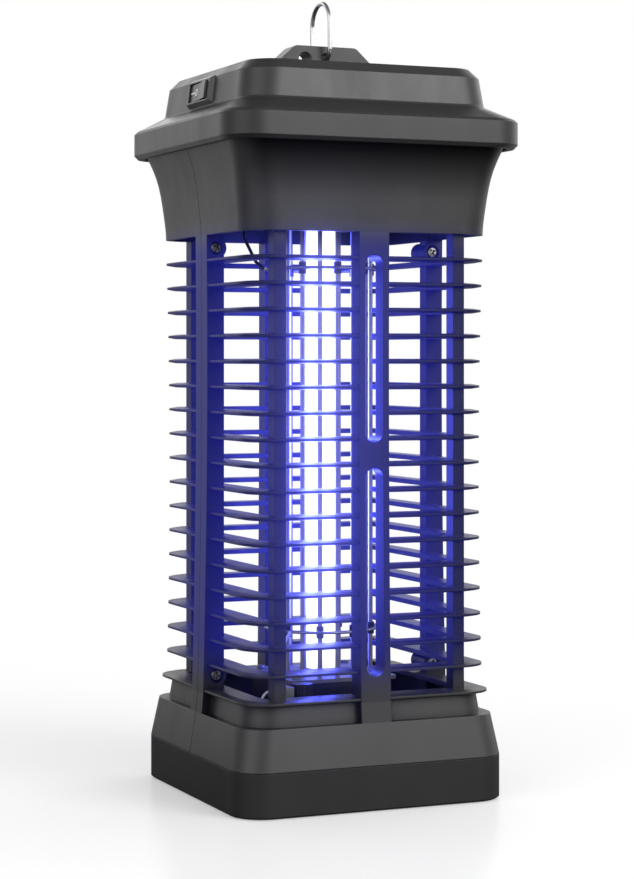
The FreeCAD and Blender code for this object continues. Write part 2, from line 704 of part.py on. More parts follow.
# ---------------------------------------------------------------- decks
def build_upper_deck():
    body = new_body("upper_deck_plate")
    plate = rounded_at(body, "upper_plate", "dims.upper_deck_z", "dims.upper_deck_half", "dims.corner - 3")
    extrude(body, "Pad", plate, "dims.deck_thick")
    top = "(dims.upper_deck_z + dims.deck_thick)"
    standoffs = corners("dims.standoff_x", "dims.standoff_y")
    columns = [rod(f"standoff_{i}", x, y, f"{top} - 0.5", "dims.standoff_radius", f"dims.board_z - {top} + 0.5")
               for i, (x, y) in enumerate(standoffs)]
    holes = [rod(f"standoff_pilot_{i}", x, y, "dims.board_z - dims.small_screw_length",
                 "dims.small_screw_radius", "dims.small_screw_length + 1")
             for i, (x, y) in enumerate(standoffs)]
    low = "dims.upper_deck_z - 1"
    through = "dims.deck_thick + 2"
    holes += [rod(f"cover_hole_{i}", x, y, low, "dims.screw_clearance", through)
              for i, (x, y) in enumerate(corners("dims.cover_boss_at", "dims.cover_boss_at"))]
    holes.append(rod("lamp_hole_high", "0", "0", low, "dims.holder_bore", through))
    holes.append(rod("sleeve_hole_high", "dims.sleeve_x", "dims.sleeve_y", low, "dims.sleeve_radius", through))
    holes.append(rod("grid_lead_hole", "dims.grid_lead_x", "dims.grid_lead_y", low, "1.2", through))
    holes += [rod(f"insulator_pilot_{i}", x, y, low, "dims.small_screw_radius", through)
              for i, (x, y) in enumerate(corners("dims.insulator_screw_at", "dims.insulator_screw_at"))]
    node(cut("upper_deck", join("upper_deck_solid", [body] + columns), holes), "upper_deck")


def build_lower_deck():
    """Open floor of the cage: four windows let insects fall into the tray."""
    body = new_body("lower_deck_plate")
    plate = rounded_at(body, "lower_plate", "dims.lower_deck_z", "dims.lower_deck_half", "dims.corner - 3")
    extrude(body, "Pad", plate, "dims.lower_deck_thick")
    low = "dims.lower_deck_z - 1"
    through = "dims.lower_deck_thick + 2"
    depth = "dims.window_out - dims.window_in"
    middle = "(dims.window_out + dims.window_in) / 2"
    span = "2 * dims.window_half"
    holes = [box("window_right", middle, "0", low, depth, span, through),
             box("window_left", f"-{middle}", "0", low, depth, span, through),
             box("window_rear", "0", middle, low, span, depth, through),
             box("window_front", "0", f"-{middle}", low, span, depth, through)]
    holes += [rod(f"deck_screw_hole_{i}", x, y, low, "dims.screw_clearance", through)
              for i, (x, y) in enumerate(corners("dims.deck_boss_at", "dims.deck_boss_at"))]
    shelf = box("terminal_shelf", "(dims.ribbed_x + dims.terminal_x) / 2", "dims.ribbed_y + 1",
                "dims.lower_deck_z", "dims.shelf_length", "dims.shelf_width", "dims.lower_deck_thick")
    node(join("lower_deck", [cut("lower_deck_open", body, holes), shelf]), "lower_deck")


DECK_TOP = "(dims.lower_deck_z + dims.lower_deck_thick)"
LOW_PLATE_Z = "(dims.low_plate_top_z - dims.insulator_thick)"
HIGH_PLATE_Z = "(dims.upper_deck_z - dims.insulator_thick)"


def build_base_box():
    """Open-topped box on the lower deck that carries the lower insulator and the lamp holder."""
    height = f"({LOW_PLATE_Z} - {DECK_TOP})"
    outer = "2 * dims.base_box_half"
    inner = "2 * (dims.base_box_half - dims.base_box_wall)"
    shell = cut("base_box_shell", box("base_box_outer", "0", "0", DECK_TOP, outer, outer, height),
                [box("base_box_inner", "0", "0", f"{DECK_TOP} + 1.2", inner, inner, height)])
    spots = corners("dims.insulator_screw_at", "dims.insulator_screw_at")
    pillars = [rod(f"base_pillar_{i}", x, y, DECK_TOP, "dims.base_box_pillar", height)
               for i, (x, y) in enumerate(spots)]
    holes = [rod(f"base_pilot_{i}", x, y, f"{LOW_PLATE_Z} - dims.small_screw_length",
                 "dims.small_screw_radius", "dims.small_screw_length + 1") for i, (x, y) in enumerate(spots)]
    holes.append(rod("base_lead_hole", "dims.box_lead_x", "17", "dims.box_lead_z", "1.7", "8", "Y"))
    holes.append(rod("base_holder_hole", "0", "0", f"{DECK_TOP} - 1", "dims.holder_radius", "6"))
    node(cut("base_box", join("base_box_solid", [shell] + pillars), holes), "base_box")


# ---------------------------------------------------------------- killing grid
def wire_spots():
    """Formulas for x and y of the cage wires, numbered round the axis."""
    spots = []
    for index in range(SIZE["wire_count"]):
        angle = f"(dims.wire_phase + {index} * 360 / dims.wire_count)"
        spots.append((f"dims.cage_radius * cos({angle} * 1deg)", f"dims.cage_radius * sin({angle} * 1deg)"))
    return spots


WIRE_LOW = f"({LOW_PLATE_Z} + dims.insulator_thick - dims.wire_seat)"
WIRE_HIGH = f"({HIGH_PLATE_Z} + dims.wire_seat)"
GRID_RING = "(dims.cage_radius + dims.bead_radius + dims.grid_ring_wire)"


def build_grid(name, ring_z, first):
    """Every other wire of the cage, joined by short stubs to a ring of thinner wire."""
    pieces = []
    for index, (x, y) in enumerate(wire_spots()):
        if index % 2 != first:
            continue
        pieces.append(rod(f"{name}_wire_{index}", x, y, WIRE_LOW, "dims.wire_radius",
                          f"{WIRE_HIGH} - {WIRE_LOW}"))
        stub = doc.addObject("Part::Cylinder", f"{name}_stub_{index}")
        degrees = SIZE["wire_phase"] + index * 360 / SIZE["wire_count"]
        stub.Placement = Placement(Vector(), Rotation(Vector(0, 0, 1), degrees) * Rotation(Vector(0, 1, 0), 90))
        bind(stub, Radius="dims.grid_ring_wire", Height=f"{GRID_RING} - dims.cage_radius")
        place(stub, x, y, ring_z)
        pieces.append(stub)
    ring = doc.addObject("Part::Torus", f"{name}_ring")
    bind(ring, Radius1=GRID_RING, Radius2="dims.grid_ring_wire")
    place(ring, "0", "0", ring_z)
    node(join(name, pieces + [ring]), name)


def build_beads():
    """Insulating sleeves where a ring passes wires of the other polarity."""
    beads = []
    for index, (x, y) in enumerate(wire_spots()):
        ring_z = "dims.low_ring_z" if index % 2 == 0 else "dims.high_ring_z"
        z = f"{ring_z} - dims.bead_length / 2"
        sleeve = rod(f"bead_{index}", x, y, z, "dims.bead_radius", "dims.bead_length")
        bore = rod(f"bead_bore_{index}", x, y, z, "dims.wire_radius", "dims.bead_length")
        beads.append(cut(f"bead_cut_{index}", sleeve, [bore]))
    node(group("grid_beads", beads), "grid_beads")


def build_insulator(label, z, seat_z):
    """Square plate with a blind seat for each wire end and an opening for the lamp."""
    body = new_body(label + "_plate")
    plate = rounded_at(body, label + "_outline", z, "dims.insulator_half", "dims.insulator_corner")
    extrude(body, "Pad", plate, "dims.insulator_thick")
    holes = [rod(f"{label}_seat_{i}", x, y, seat_z, "dims.wire_radius", "dims.wire_seat")
             for i, (x, y) in enumerate(wire_spots())]
    through = "dims.insulator_thick + 2"
    holes.append(rod(f"{label}_lamp_hole", "0", "0", f"{z} - 1", "dims.holder_bore", through))
    holes += [rod(f"{label}_screw_hole_{i}", x, y, f"{z} - 1", "dims.small_screw_radius + 0.1", through)
              for i, (x, y) in enumerate(corners("dims.insulator_screw_at", "dims.insulator_screw_at"))]
    node(cut(label, body, holes), label)


# ---------------------------------------------------------------- lamp
LAMP_TOP = "(dims.lamp_low_z + dims.lamp_length)"


def build_lamp():
    tube_z = "dims.lamp_low_z + 1"
    tube_length = "dims.lamp_length - 2"
    outer = rod("tube_outer", "0", "0", tube_z, "dims.lamp_radius", tube_length)
    inner = rod("tube_inner", "0", "0", f"{tube_z} + dims.lamp_glass", "dims.lamp_radius - dims.lamp_glass",
                f"{tube_length} - 2 * dims.lamp_glass")
    node(cut("lamp_tube", outer, [inner]), "lamp_tube")
    caps, pins = [], []
    for name, z, tube_end in (("low", "dims.lamp_low_z", "dims.lamp_low_z + 1"),
                              ("high", f"{LAMP_TOP} - dims.lamp_cap_length",
                               f"{LAMP_TOP} - dims.lamp_cap_length - 1")):
        solid = rod(f"cap_{name}", "0", "0", z, "dims.lamp_cap_radius", "dims.lamp_cap_length")
        room = rod(f"cap_room_{name}", "0", "0", tube_end, "dims.lamp_radius", "dims.lamp_cap_length")
        caps.append(cut(f"cap_cut_{name}", solid, [room]))
        pin_z = "dims.lamp_low_z - dims.pin_length" if name == "low" else LAMP_TOP
        pins += [rod(f"pin_{name}_{side}", f"{side} * dims.pin_spacing / 2", "0", pin_z, "dims.pin_radius",
                     "dims.pin_length") for side in (1, -1)]
    node(group("lamp_caps", caps), "lamp_caps")
    node(group("lamp_pins", pins), "lamp_pins")


def build_lamp_holder(label, z, height, cup_z, cup_height, pin_z):
    """Round holder with a cup for the lamp cap and two pin holes."""
    solid = rod(f"{label}_solid", "0", "0", z, "dims.holder_radius", height)
    holes = [rod(f"{label}_cup", "0", "0", cup_z, "dims.holder_bore", cup_height)]
    holes += [rod(f"{label}_pin_hole_{side}", f"{side} * dims.pin_spacing / 2", "0", pin_z,
                  "dims.pin_radius + 0.1", "dims.pin_length + 0.5") for side in (1, -1)]
    node(cut(label, solid, holes), label)


def build_lamp_holders():
    build_lamp_holder("lower_lamp_holder", DECK_TOP, f"{LOW_PLATE_Z} - {DECK_TOP}", "dims.lamp_low_z",
                      "dims.lamp_cap_length", "dims.lamp_low_z - dims.pin_length - 0.4")
    top = "(dims.upper_deck_z + dims.deck_thick)"
    build_lamp_holder("upper_lamp_holder", top, f"{LAMP_TOP} + dims.holder_body - {top}", f"{top} - 1",
                      f"{LAMP_TOP} - {top} + 1", f"{LAMP_TOP} - 0.1")


# ---------------------------------------------------------------- ring, tray, feet
def build_hanging_ring():
    """Closed loop of round wire in the plane X = 0: a half circle on two legs, joined by a bar in the tab."""
    def bend(name, y, z, radius, angle, turn):
        """Piece of the loop that starts on its +Y side and rises, turned about X."""
        piece = doc.addObject("Part::Torus", name)
        upright = Rotation(Vector(1, 1, 1), 120)
        piece.Placement = Placement(Vector(), Rotation(Vector(1, 0, 0), turn).multiply(upright))
        bind(piece, Radius1=radius, Radius2="dims.ring_wire_radius")
        piece.Angle3 = angle
        place(piece, "0", y, z)
        return piece

    shoulder_z = "(dims.ring_top_z - dims.ring_half)"
    corner_z = "(dims.ring_low_z + dims.ring_corner)"
    corner_y = "(dims.ring_half - dims.ring_corner)"
    pieces = [bend("ring_top", "0", shoulder_z, "dims.ring_half", 180, 0),
              bend("ring_corner_rear", corner_y, corner_z, "dims.ring_corner", 90, -90),
              bend("ring_corner_front", f"-{corner_y}", corner_z, "dims.ring_corner", 90, 180)]
    pieces += [rod(f"ring_leg_{name}", "0", f"{side} * dims.ring_half", corner_z, "dims.ring_wire_radius",
                   f"{shoulder_z} - {corner_z}") for name, side in (("front", -1), ("rear", 1))]
    pieces.append(rod("ring_bar", "0", f"-{corner_y}", "dims.ring_low_z", "dims.ring_wire_radius",
                      f"2 * {corner_y}", "Y"))
    node(join("hanging_loop", pieces), "hanging_ring")


def build_catch_tray():
    """Shallow square tray with a lip that enters the skirt and two snap arms."""
    body = new_body("tray_blank")
    floor_z = "dims.foot_height"
    outside = [rounded_at(body, "tray_0", floor_z, "dims.skirt_half - dims.tray_chamfer"),
               rounded_at(body, "tray_1", f"{floor_z} + dims.tray_chamfer", "dims.skirt_half"),
               rounded_at(body, "tray_2", "dims.tray_top_z", "dims.skirt_half")]
    loft(body, "AdditiveLoft", outside)
    lip = rounded_at(body, "tray_lip", "dims.tray_top_z", "dims.lip_half", "dims.corner - 4")
    extrude(body, "Pad", lip, "dims.lip_height")
    room = rounded_at(body, "tray_room", f"{floor_z} + dims.tray_floor", "dims.lip_half - dims.lip_thick",
                      "dims.corner - 5.8")
    extrude(body, "Pocket", room, "dims.tray_top_z + dims.lip_height", backwards=True)
    arms = [box(f"snap_{side}", f"{side} * (dims.lip_half - dims.lip_thick - dims.snap_thick / 2)", "0",
                "dims.tray_top_z - 4", "dims.snap_thick", "dims.snap_width",
                "dims.lip_height + dims.snap_height + 4") for side in (1, -1)]
    seats = [rod(f"foot_seat_{i}", x, y, "0", "dims.foot_radius", f"{floor_z} + dims.foot_inset")
             for i, (x, y) in enumerate(corners("dims.foot_at", "dims.foot_at"))]
    node(cut("catch_tray", join("tray_solid", [body] + arms), seats), "catch_tray")
    feet = [rod(f"foot_{i}", x, y, "0", "dims.foot_radius", f"{floor_z} + dims.foot_inset")
            for i, (x, y) in enumerate(corners("dims.foot_at", "dims.foot_at"))]
    node(group("rubber_feet", feet), "rubber_feet")


# ---------------------------------------------------------------- switch and inlet
def build_switch():
    """Bezel and contact housing in one frame, and a separate rocker that pivots in it."""
    body = new_body("bezel_blank")
    bezel = [new_sketch(body, "bezel_low", offset="dims.face_gap"),
             new_sketch(body, "bezel_high", offset="dims.bezel_proud")]
    draw_rounded(bezel[0], "dims.bezel_width / 2", "dims.bezel_length / 2", "dims.bezel_corner")
    draw_rounded(bezel[1], "dims.bezel_width / 2 - dims.bezel_slope",
                 "dims.bezel_length / 2 - dims.bezel_slope", "dims.bezel_corner")
    loft(body, "AdditiveLoft", bezel)
    housing = box("switch_chamber", "0", "0", "-dims.switch_body_depth", "dims.switch_body_width - 0.2",
                  "dims.switch_body_length - 0.2", "dims.switch_body_depth + 1")
    room = box("switch_room", "0", "0", "-dims.switch_body_depth + dims.switch_wall",
               "dims.rocker_width + 0.6", "dims.rocker_length + 0.8", "dims.switch_body_depth + 3")
    frame = cut("switch_frame", join("switch_solid", [body, housing]), [room])
    node(on_side_face(frame, "left"), "switch_housing")
    rocker_body = new_body("rocker_blank")
    profile = new_sketch(rocker_body, "rocker_profile", "YZ_Plane")
    half = "dims.rocker_length / 2"
    flank = f"({half} - dims.rocker_flank_in)"
    draw_outline(profile, [(f"-{half}", "dims.rocker_edge_low"), (f"-{flank}", "dims.rocker_flank_z"),
                           ("-dims.rocker_keel_half", "dims.rocker_keel_z"),
                           ("dims.rocker_keel_half", "dims.rocker_keel_z"), (flank, "dims.rocker_flank_z"),
                           (half, "dims.rocker_edge_low"), (half, "dims.rocker_edge_high"),
                           ("0", "dims.rocker_dip"), (f"-{half}", "dims.rocker_edge_high")])
    extrude(rocker_body, "Pad", profile, "dims.rocker_width", symmetric=True)
    rocker_body.Placement = Placement(Vector(), Rotation(Vector(1, 0, 0), -SIZE["rocker_tilt"]))
    bind(rocker_body, Placement_Base_z="dims.rocker_rise")
    node(on_side_face(rocker_body, "left"), "switch_rocker")
    tags = [box(f"switch_tag_{i}", "0", f"{i} * dims.tag_pitch", "-dims.switch_body_depth - dims.tag_length",
                "dims.tag_thick", "dims.tag_width", "dims.tag_length") for i in (-1, 0, 1)]
    node(on_side_face(group("switch_tags_group", tags), "left"), "switch_terminals")


def build_inlet():
    """Two-pin appliance inlet with a figure-eight recess."""
    flange = box("inlet_flange", "0", "0", "dims.face_gap", "dims.inlet_width", "dims.inlet_length",
                 "dims.inlet_proud")
    housing = box("inlet_housing", "0", "0", "-dims.inlet_depth", "dims.inlet_body_width - 0.2",
                  "dims.inlet_body_length - 0.2", "dims.inlet_depth + 1")
    floor_z = "-dims.inlet_depth + dims.inlet_floor"
    depth = "dims.inlet_depth + 3"
    spots = [(side, f"{side} * dims.inlet_pin_spacing / 2") for side in (1, -1)]
    recess = [rod(f"inlet_bore_{side}", "0", y, floor_z, "dims.inlet_bore", depth) for side, y in spots]
    recess.append(box("inlet_waist", "0", "0", floor_z, "2 * dims.inlet_bore - 2", "dims.inlet_pin_spacing",
                      depth))
    recess += [rod(f"inlet_pin_hole_{side}", "0", y, "-dims.inlet_depth - 1", "dims.inlet_pin_radius",
                   "2 * dims.inlet_floor") for side, y in spots]
    shell = cut("inlet_shell", join("inlet_solid", [flange, housing]), recess)
    node(on_side_face(shell, "rear"), "mains_inlet")
    pins = [rod(f"inlet_pin_{side}", "0", y, "-dims.inlet_depth - dims.inlet_pin_tail", "dims.inlet_pin_radius",
                "dims.inlet_depth + dims.inlet_pin_tail / 2") for side, y in spots]
    node(on_side_face(group("inlet_pin_group", pins), "rear"), "inlet_pins")


# ---------------------------------------------------------------- electronics
BOARD_TOP = "(dims.board_z + dims.board_thick)"


def build_electronics():
    plate = box("board_plate", "0", "0", "dims.board_z", "dims.board_length", "dims.board_width",
                "dims.board_thick")
    standoffs = corners("dims.standoff_x", "dims.standoff_y")
    holes = [rod(f"board_hole_{i}", x, y, "dims.board_z - 1", "dims.small_screw_radius + 0.1", "4")
             for i, (x, y) in enumerate(standoffs)]
    node(cut("circuit_board", plate, holes), "circuit_board")
    build_transformer()
    cans = [rod(f"high_voltage_can_{i}", "dims.can_x", f"{i} * dims.can_pitch", BOARD_TOP, "dims.can_radius",
                "dims.can_height") for i in (-1, 0, 1)]
    node(group("high_voltage_capacitors", cans), "high_voltage_capacitors")
    node(rod("filter_capacitor", "dims.filter_x", "dims.filter_y", BOARD_TOP, "dims.filter_radius",
             "dims.filter_height"), "filter_capacitor")
    diodes = [rod(f"diode_{i}", "dims.diode_x", f"dims.diode_y + {i} * dims.diode_pitch",
                  f"{BOARD_TOP} + dims.diode_radius + 0.1", "dims.diode_radius", "dims.diode_length", "X")
              for i in range(4)]
    node(group("rectifier_diodes", diodes), "rectifier_diodes")
    blocks = [box(f"terminal_block_{name}", f"dims.{name}_block_x", f"dims.{name}_block_y", BOARD_TOP,
                  f"dims.{name}_block_length", f"dims.{name}_block_width", "dims.block_height")
              for name in ("mains", "lamp")]
    node(group("board_terminals", blocks), "board_terminals")


def build_transformer():
    """Square ferrite frame with the winding through its window."""
    limb = "dims.core_limb"
    side = f"(dims.core_length - {limb}) / 2"
    top_z = f"{BOARD_TOP} + dims.core_height - {limb}"
    bars = [box(f"core_{name}", "dims.core_x", "0", z, "dims.core_length", "dims.core_width", limb)
            for name, z in (("low", BOARD_TOP), ("high", top_z))]
    bars += [box(f"core_{name}", f"dims.core_x {shift} {side}", "0", BOARD_TOP, limb, "dims.core_width",
                 "dims.core_height") for name, shift in (("left", "-"), ("right", "+"))]
    node(join("transformer_core", bars), "transformer_core")
    node(box("transformer_coil", "dims.core_x", "0", f"{BOARD_TOP} + {limb}",
             f"dims.core_length - 2 * ({limb} + dims.coil_gap)", "dims.coil_width",
             f"dims.core_height - 2 * {limb} - 2 * dims.coil_gap"), "transformer_coil")


# ---------------------------------------------------------------- small parts on the lower deck
def build_deck_parts():
    """Ribbed insulating post, the earthing terminal beside it and its clamping screw."""
    body = new_body("ribbed_blank")
    outline = new_sketch(body, "ribbed_outline")
    draw_circle(outline, "0", "0", "dims.ribbed_radius")
    extrude(body, "Pad", outline, "dims.ribbed_height")
    notch = new_sketch(body, "ribbed_notch")
    draw_circle(notch, "dims.ribbed_radius + 0.2", "0", "0.55")
    groove = extrude(body, "Pocket", notch, "dims.ribbed_height", backwards=True)
    pattern = body.newObject("PartDesign::PolarPattern", "ribbed_pattern")
    pattern.Originals = [groove]
    axis = next(item for item in body.Origin.OriginFeatures if item.Role == "Z_Axis")
    pattern.Axis = (axis, [""])
    pattern.Angle = 360
    pattern.setExpression("Occurrences", "dims.rib_count")
    body.Tip = pattern
    place(body, "dims.ribbed_x", "dims.ribbed_y", DECK_TOP)
    node(body, "ribbed_insulator")
    block = join("terminal_solid", [box("terminal_foot", "dims.terminal_x", "dims.ribbed_y", DECK_TOP,
                                        "dims.terminal_width", "dims.terminal_depth", "dims.terminal_height"),
                                    box("terminal_tongue", "dims.terminal_x", "dims.ribbed_y + 5", DECK_TOP,
                                        "dims.terminal_width", "6", "1.5")])
    node(block, "grid_terminal")


def build_screws():
    case = [screw(f"case_screw_{i}", x, "-dims.post_width / 2 + 0.4", z, "dims.case_screw_length", "Y")
            for i, (x, z) in enumerate(CASE_SCREWS)]
    node(group("case_screws", case), "case_screws")
    deck = [screw(f"deck_screw_{i}", x, y, "dims.lower_deck_z - dims.head_height", "dims.deck_screw_length")
            for i, (x, y) in enumerate(corners("dims.deck_boss_at", "dims.deck_boss_at"))]
    node(group("deck_screws", deck), "deck_screws")
    cover = [screw(f"cover_screw_{i}", x, y, "dims.upper_deck_z - dims.head_height", "dims.cover_screw_length")
             for i, (x, y) in enumerate(corners("dims.cover_boss_at", "dims.cover_boss_at"))]
    node(group("cover_screws", cover), "cover_screws")
    small = []
    for i, (x, y) in enumerate(corners("dims.insulator_screw_at", "dims.insulator_screw_at")):
        small.append(screw(f"plate_screw_high_{i}", x, y, f"{HIGH_PLATE_Z} - dims.small_head_height",
                           "dims.insulator_thick + dims.deck_thick - 0.2", small=True))
        small.append(down_screw(f"plate_screw_low_{i}", x, y, f"{LOW_PLATE_Z} + dims.insulator_thick"))
    node(group("insulator_screws", small), "insulator_screws")
    board = [down_screw(f"board_screw_{i}", x, y, BOARD_TOP)
             for i, (x, y) in enumerate(corners("dims.standoff_x", "dims.standoff_y"))]
    node(group("board_screws", board), "board_screws")


def down_screw(name, x, y, z):
    """Small pan-head screw driven downwards, with its head standing on z."""
    head = rod(name + "_head", x, y, z, "dims.small_head_radius", "dims.small_head_height")
    shank = rod(name + "_shank", x, y, f"{z} - dims.small_screw_length", "dims.small_screw_radius",
                "dims.small_screw_length")
    return join(name, [head, shank])


# ---------------------------------------------------------------- wiring
END_GAP = 0.3  # room for the slanted end of a lead over the part it meets


def smooth_path(points):
    curve = Part.BSplineCurve()
    curve.interpolate(points)
    return Part.Wire(curve.toShape())


def lead(points, radius, smooth):
    """Round lead swept along a smooth curve, or along straight runs with rounded corners."""
    spots = [Vector(*point) for point in points]
    path = smooth_path(spots) if smooth else Part.makePolygon(spots)
    first = path.Edges[0]
    direction = first.tangentAt(first.FirstParameter)
    profile = Part.Wire(Part.makeCircle(radius, spots[0], direction))
    round_corner = 2
    return path.makePipeShell([profile], True, False, 0 if smooth else round_corner)


def lead_node(label, routes, radius, smooth=False):
    feature = doc.addObject("Part::Feature", label)
    feature.Shape = Part.makeCompound([lead(points, radius, smooth) for points in routes])
    feature.Placement = Placement()
    node(feature, label)


def build_wiring():
    """Sleeve beside the rear right corner post, and every lead.

    A route is a list of points in millimetres, chosen to pass clear of the neighbouring parts.
    """
    low = "dims.lower_deck_z + dims.lower_deck_thick + 3"
    length = f"dims.upper_deck_z + dims.deck_thick + 3 - ({low})"
    outer = rod("sleeve_outer", "dims.sleeve_x", "dims.sleeve_y", low, "dims.sleeve_radius", length)
    inner = rod("sleeve_inner", "dims.sleeve_x", "dims.sleeve_y", low,
                "dims.sleeve_radius - dims.sleeve_wall", length)
    node(cut("lead_sleeve", outer, [inner]), "lead_sleeve")

    sleeve_x, sleeve_y = SIZE["sleeve_x"], SIZE["sleeve_y"]
    deck_top = SIZE["lower_deck_z"] + SIZE["lower_deck_thick"]
    over_board, over_deck = SIZE["board_z"] + 6, deck_top + 1.6
    box_x, box_z = SIZE["box_lead_x"], SIZE["box_lead_z"]
    routes = []
    for side in (-0.8, 0.8):
        x = sleeve_x + side
        routes.append([(x + 6, -5.3, over_board), (x + 6, 36, over_board), (x, sleeve_y, over_board),
                       (x, sleeve_y, over_deck), (box_x + 9 + side, 26, over_deck),
                       (box_x + side, 25, box_z), (box_x + side, 12, box_z), (7.8 + side, 7.8 - side, box_z)])
    lead_node("lower_lamp_leads", routes, SIZE["lead_radius"])

    holder_top = SIZE["lamp_low_z"] + SIZE["lamp_length"] + SIZE["holder_body"]
    half_pins = SIZE["pin_spacing"] / 2
    runs = [[(x, 0, holder_top), (x, 0, SIZE["board_z"])] for x in (-half_pins, half_pins)]
    lead_node("upper_lamp_leads", runs, SIZE["lead_radius"])

    grid_x, grid_y = SIZE["grid_lead_x"], SIZE["grid_lead_y"]
    ring_z = SIZE["high_ring_z"]
    lead_node("high_voltage_lead", [[(-25.0, 3.0, ring_z), (-28, 5, ring_z + 3), (grid_x, grid_y, ring_z + 13),
                                     (grid_x, grid_y, SIZE["board_z"])]], SIZE["lead_radius"])
    terminal_x, terminal_y = SIZE["terminal_x"], SIZE["ribbed_y"]
    terminal_top = deck_top + SIZE["terminal_height"]
    ring_z = SIZE["low_ring_z"]
    lead_node("return_lead", [[(-20.5, -14.8, ring_z), (-25, -19, ring_z - 4),
                               (terminal_x, -25, terminal_top + 8),
                               (terminal_x, terminal_y + 2, terminal_top + END_GAP)]], SIZE["lead_radius"])
    lead_node("earth_lead", [[(terminal_x - 2.5, terminal_y, deck_top + 8), (-33.5, -29.6, deck_top + 12.4),
                              (-36.8, -30.2, deck_top + 13.6), (-39.6, -30.6, deck_top + 11),
                              (-41, -31, deck_top + 4), (-41, -31, deck_top + END_GAP)]],
              SIZE["earth_lead_radius"], smooth=True)
    block_x = SIZE["mains_block_x"]
    block_top = SIZE["board_z"] + SIZE["board_thick"] + SIZE["block_height"]
    lead_node("power_leads", [
        [(4.3, 35.0, 291.6), (4.0, 27, 289), (-18, 11, 289), (-33.9, 5.0, 291.5)],
        [(-4.3, 35.0, 291.6), (-5, 26, 286), (-28, 13, 281), (block_x, 10, block_top + 3),
         (block_x, 10, block_top + END_GAP)],
        [(-33.9, -5, 291.5), (-29, -4.5, 287), (-31, -2, 280), (block_x, -1, block_top + 3),
         (block_x, -1, block_top + END_GAP)]], SIZE["lead_radius"])


probe = doc.addObject("Part::Box", "probe")
build_shells()
build_top_cover()
build_upper_deck()
build_lower_deck()
build_base_box()
build_grid("high_voltage_grid", "dims.high_ring_z", 0)
build_grid("return_grid", "dims.low_ring_z", 1)
build_beads()
build_insulator("upper_insulator", HIGH_PLATE_Z, HIGH_PLATE_Z)
build_insulator("lower_insulator", LOW_PLATE_Z, f"{LOW_PLATE_Z} + dims.insulator_thick - dims.wire_seat")
build_lamp()
build_lamp_holders()
build_hanging_ring()
build_catch_tray()
build_switch()
build_inlet()
build_electronics()
build_deck_parts()
build_screws()
build_wiring()
doc.recompute()

for item in doc.Objects:
    if "Invalid" in item.State or "Error" in item.State:
        raise RuntimeError(f"{item.Name} ({item.Label}) failed: {item.State}")
os.makedirs("parts", exist_ok=True)
for item in NODES:
    if item.Shape.isNull() or not item.Shape.isValid():
        raise RuntimeError(f"{item.Label} has no valid shape")
for item in NODES:
    item.Shape.exportStep(os.path.join("parts", item.Label + ".step"))
print(len(NODES), "sub-parts written")
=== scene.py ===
"""Looks of the electric bug zapper: finishes, fine detail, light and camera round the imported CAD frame."""
import json
import math

import bmesh
import bpy
from mathutils import Matrix, Vector


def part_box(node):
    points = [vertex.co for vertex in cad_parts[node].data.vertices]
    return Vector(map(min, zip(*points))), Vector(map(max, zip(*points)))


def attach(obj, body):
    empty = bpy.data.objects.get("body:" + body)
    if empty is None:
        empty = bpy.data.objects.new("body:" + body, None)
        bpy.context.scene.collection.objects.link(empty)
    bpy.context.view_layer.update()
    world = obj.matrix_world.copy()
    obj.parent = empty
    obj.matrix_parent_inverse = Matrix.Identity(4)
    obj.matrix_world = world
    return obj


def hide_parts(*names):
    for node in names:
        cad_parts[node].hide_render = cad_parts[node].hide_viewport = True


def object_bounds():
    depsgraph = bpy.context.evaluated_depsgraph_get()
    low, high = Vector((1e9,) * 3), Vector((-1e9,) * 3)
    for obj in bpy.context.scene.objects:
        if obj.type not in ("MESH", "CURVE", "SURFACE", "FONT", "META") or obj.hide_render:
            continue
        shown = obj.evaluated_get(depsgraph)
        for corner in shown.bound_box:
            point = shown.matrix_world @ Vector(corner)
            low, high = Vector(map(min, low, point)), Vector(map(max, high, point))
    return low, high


MM = 0.001
ROOT = "housing"
CAMERA_BEARING = math.radians(23.5)     # how far left of the front the camera stands
PANEL_BEARING = math.radians(23.5)      # how far right of the front the brightest light panel stands
CAGE_FOOT = (44 * MM, 68 * MM)          # heights between which the painted glow and painted shade of the cage fade in
CAGE_HEAD = (241 * MM, 226 * MM)        # heights between which they fade in from above
CAGE_MIDDLE = 145 * MM
BODY_SCREW = (2.7 * MM, 2.0 * MM, 1.5 * MM)     # head radius, head height and shank radius
SMALL_SCREW = (2.0 * MM, 1.2 * MM, 1.1 * MM)
THREAD_PITCH = 0.9 * MM

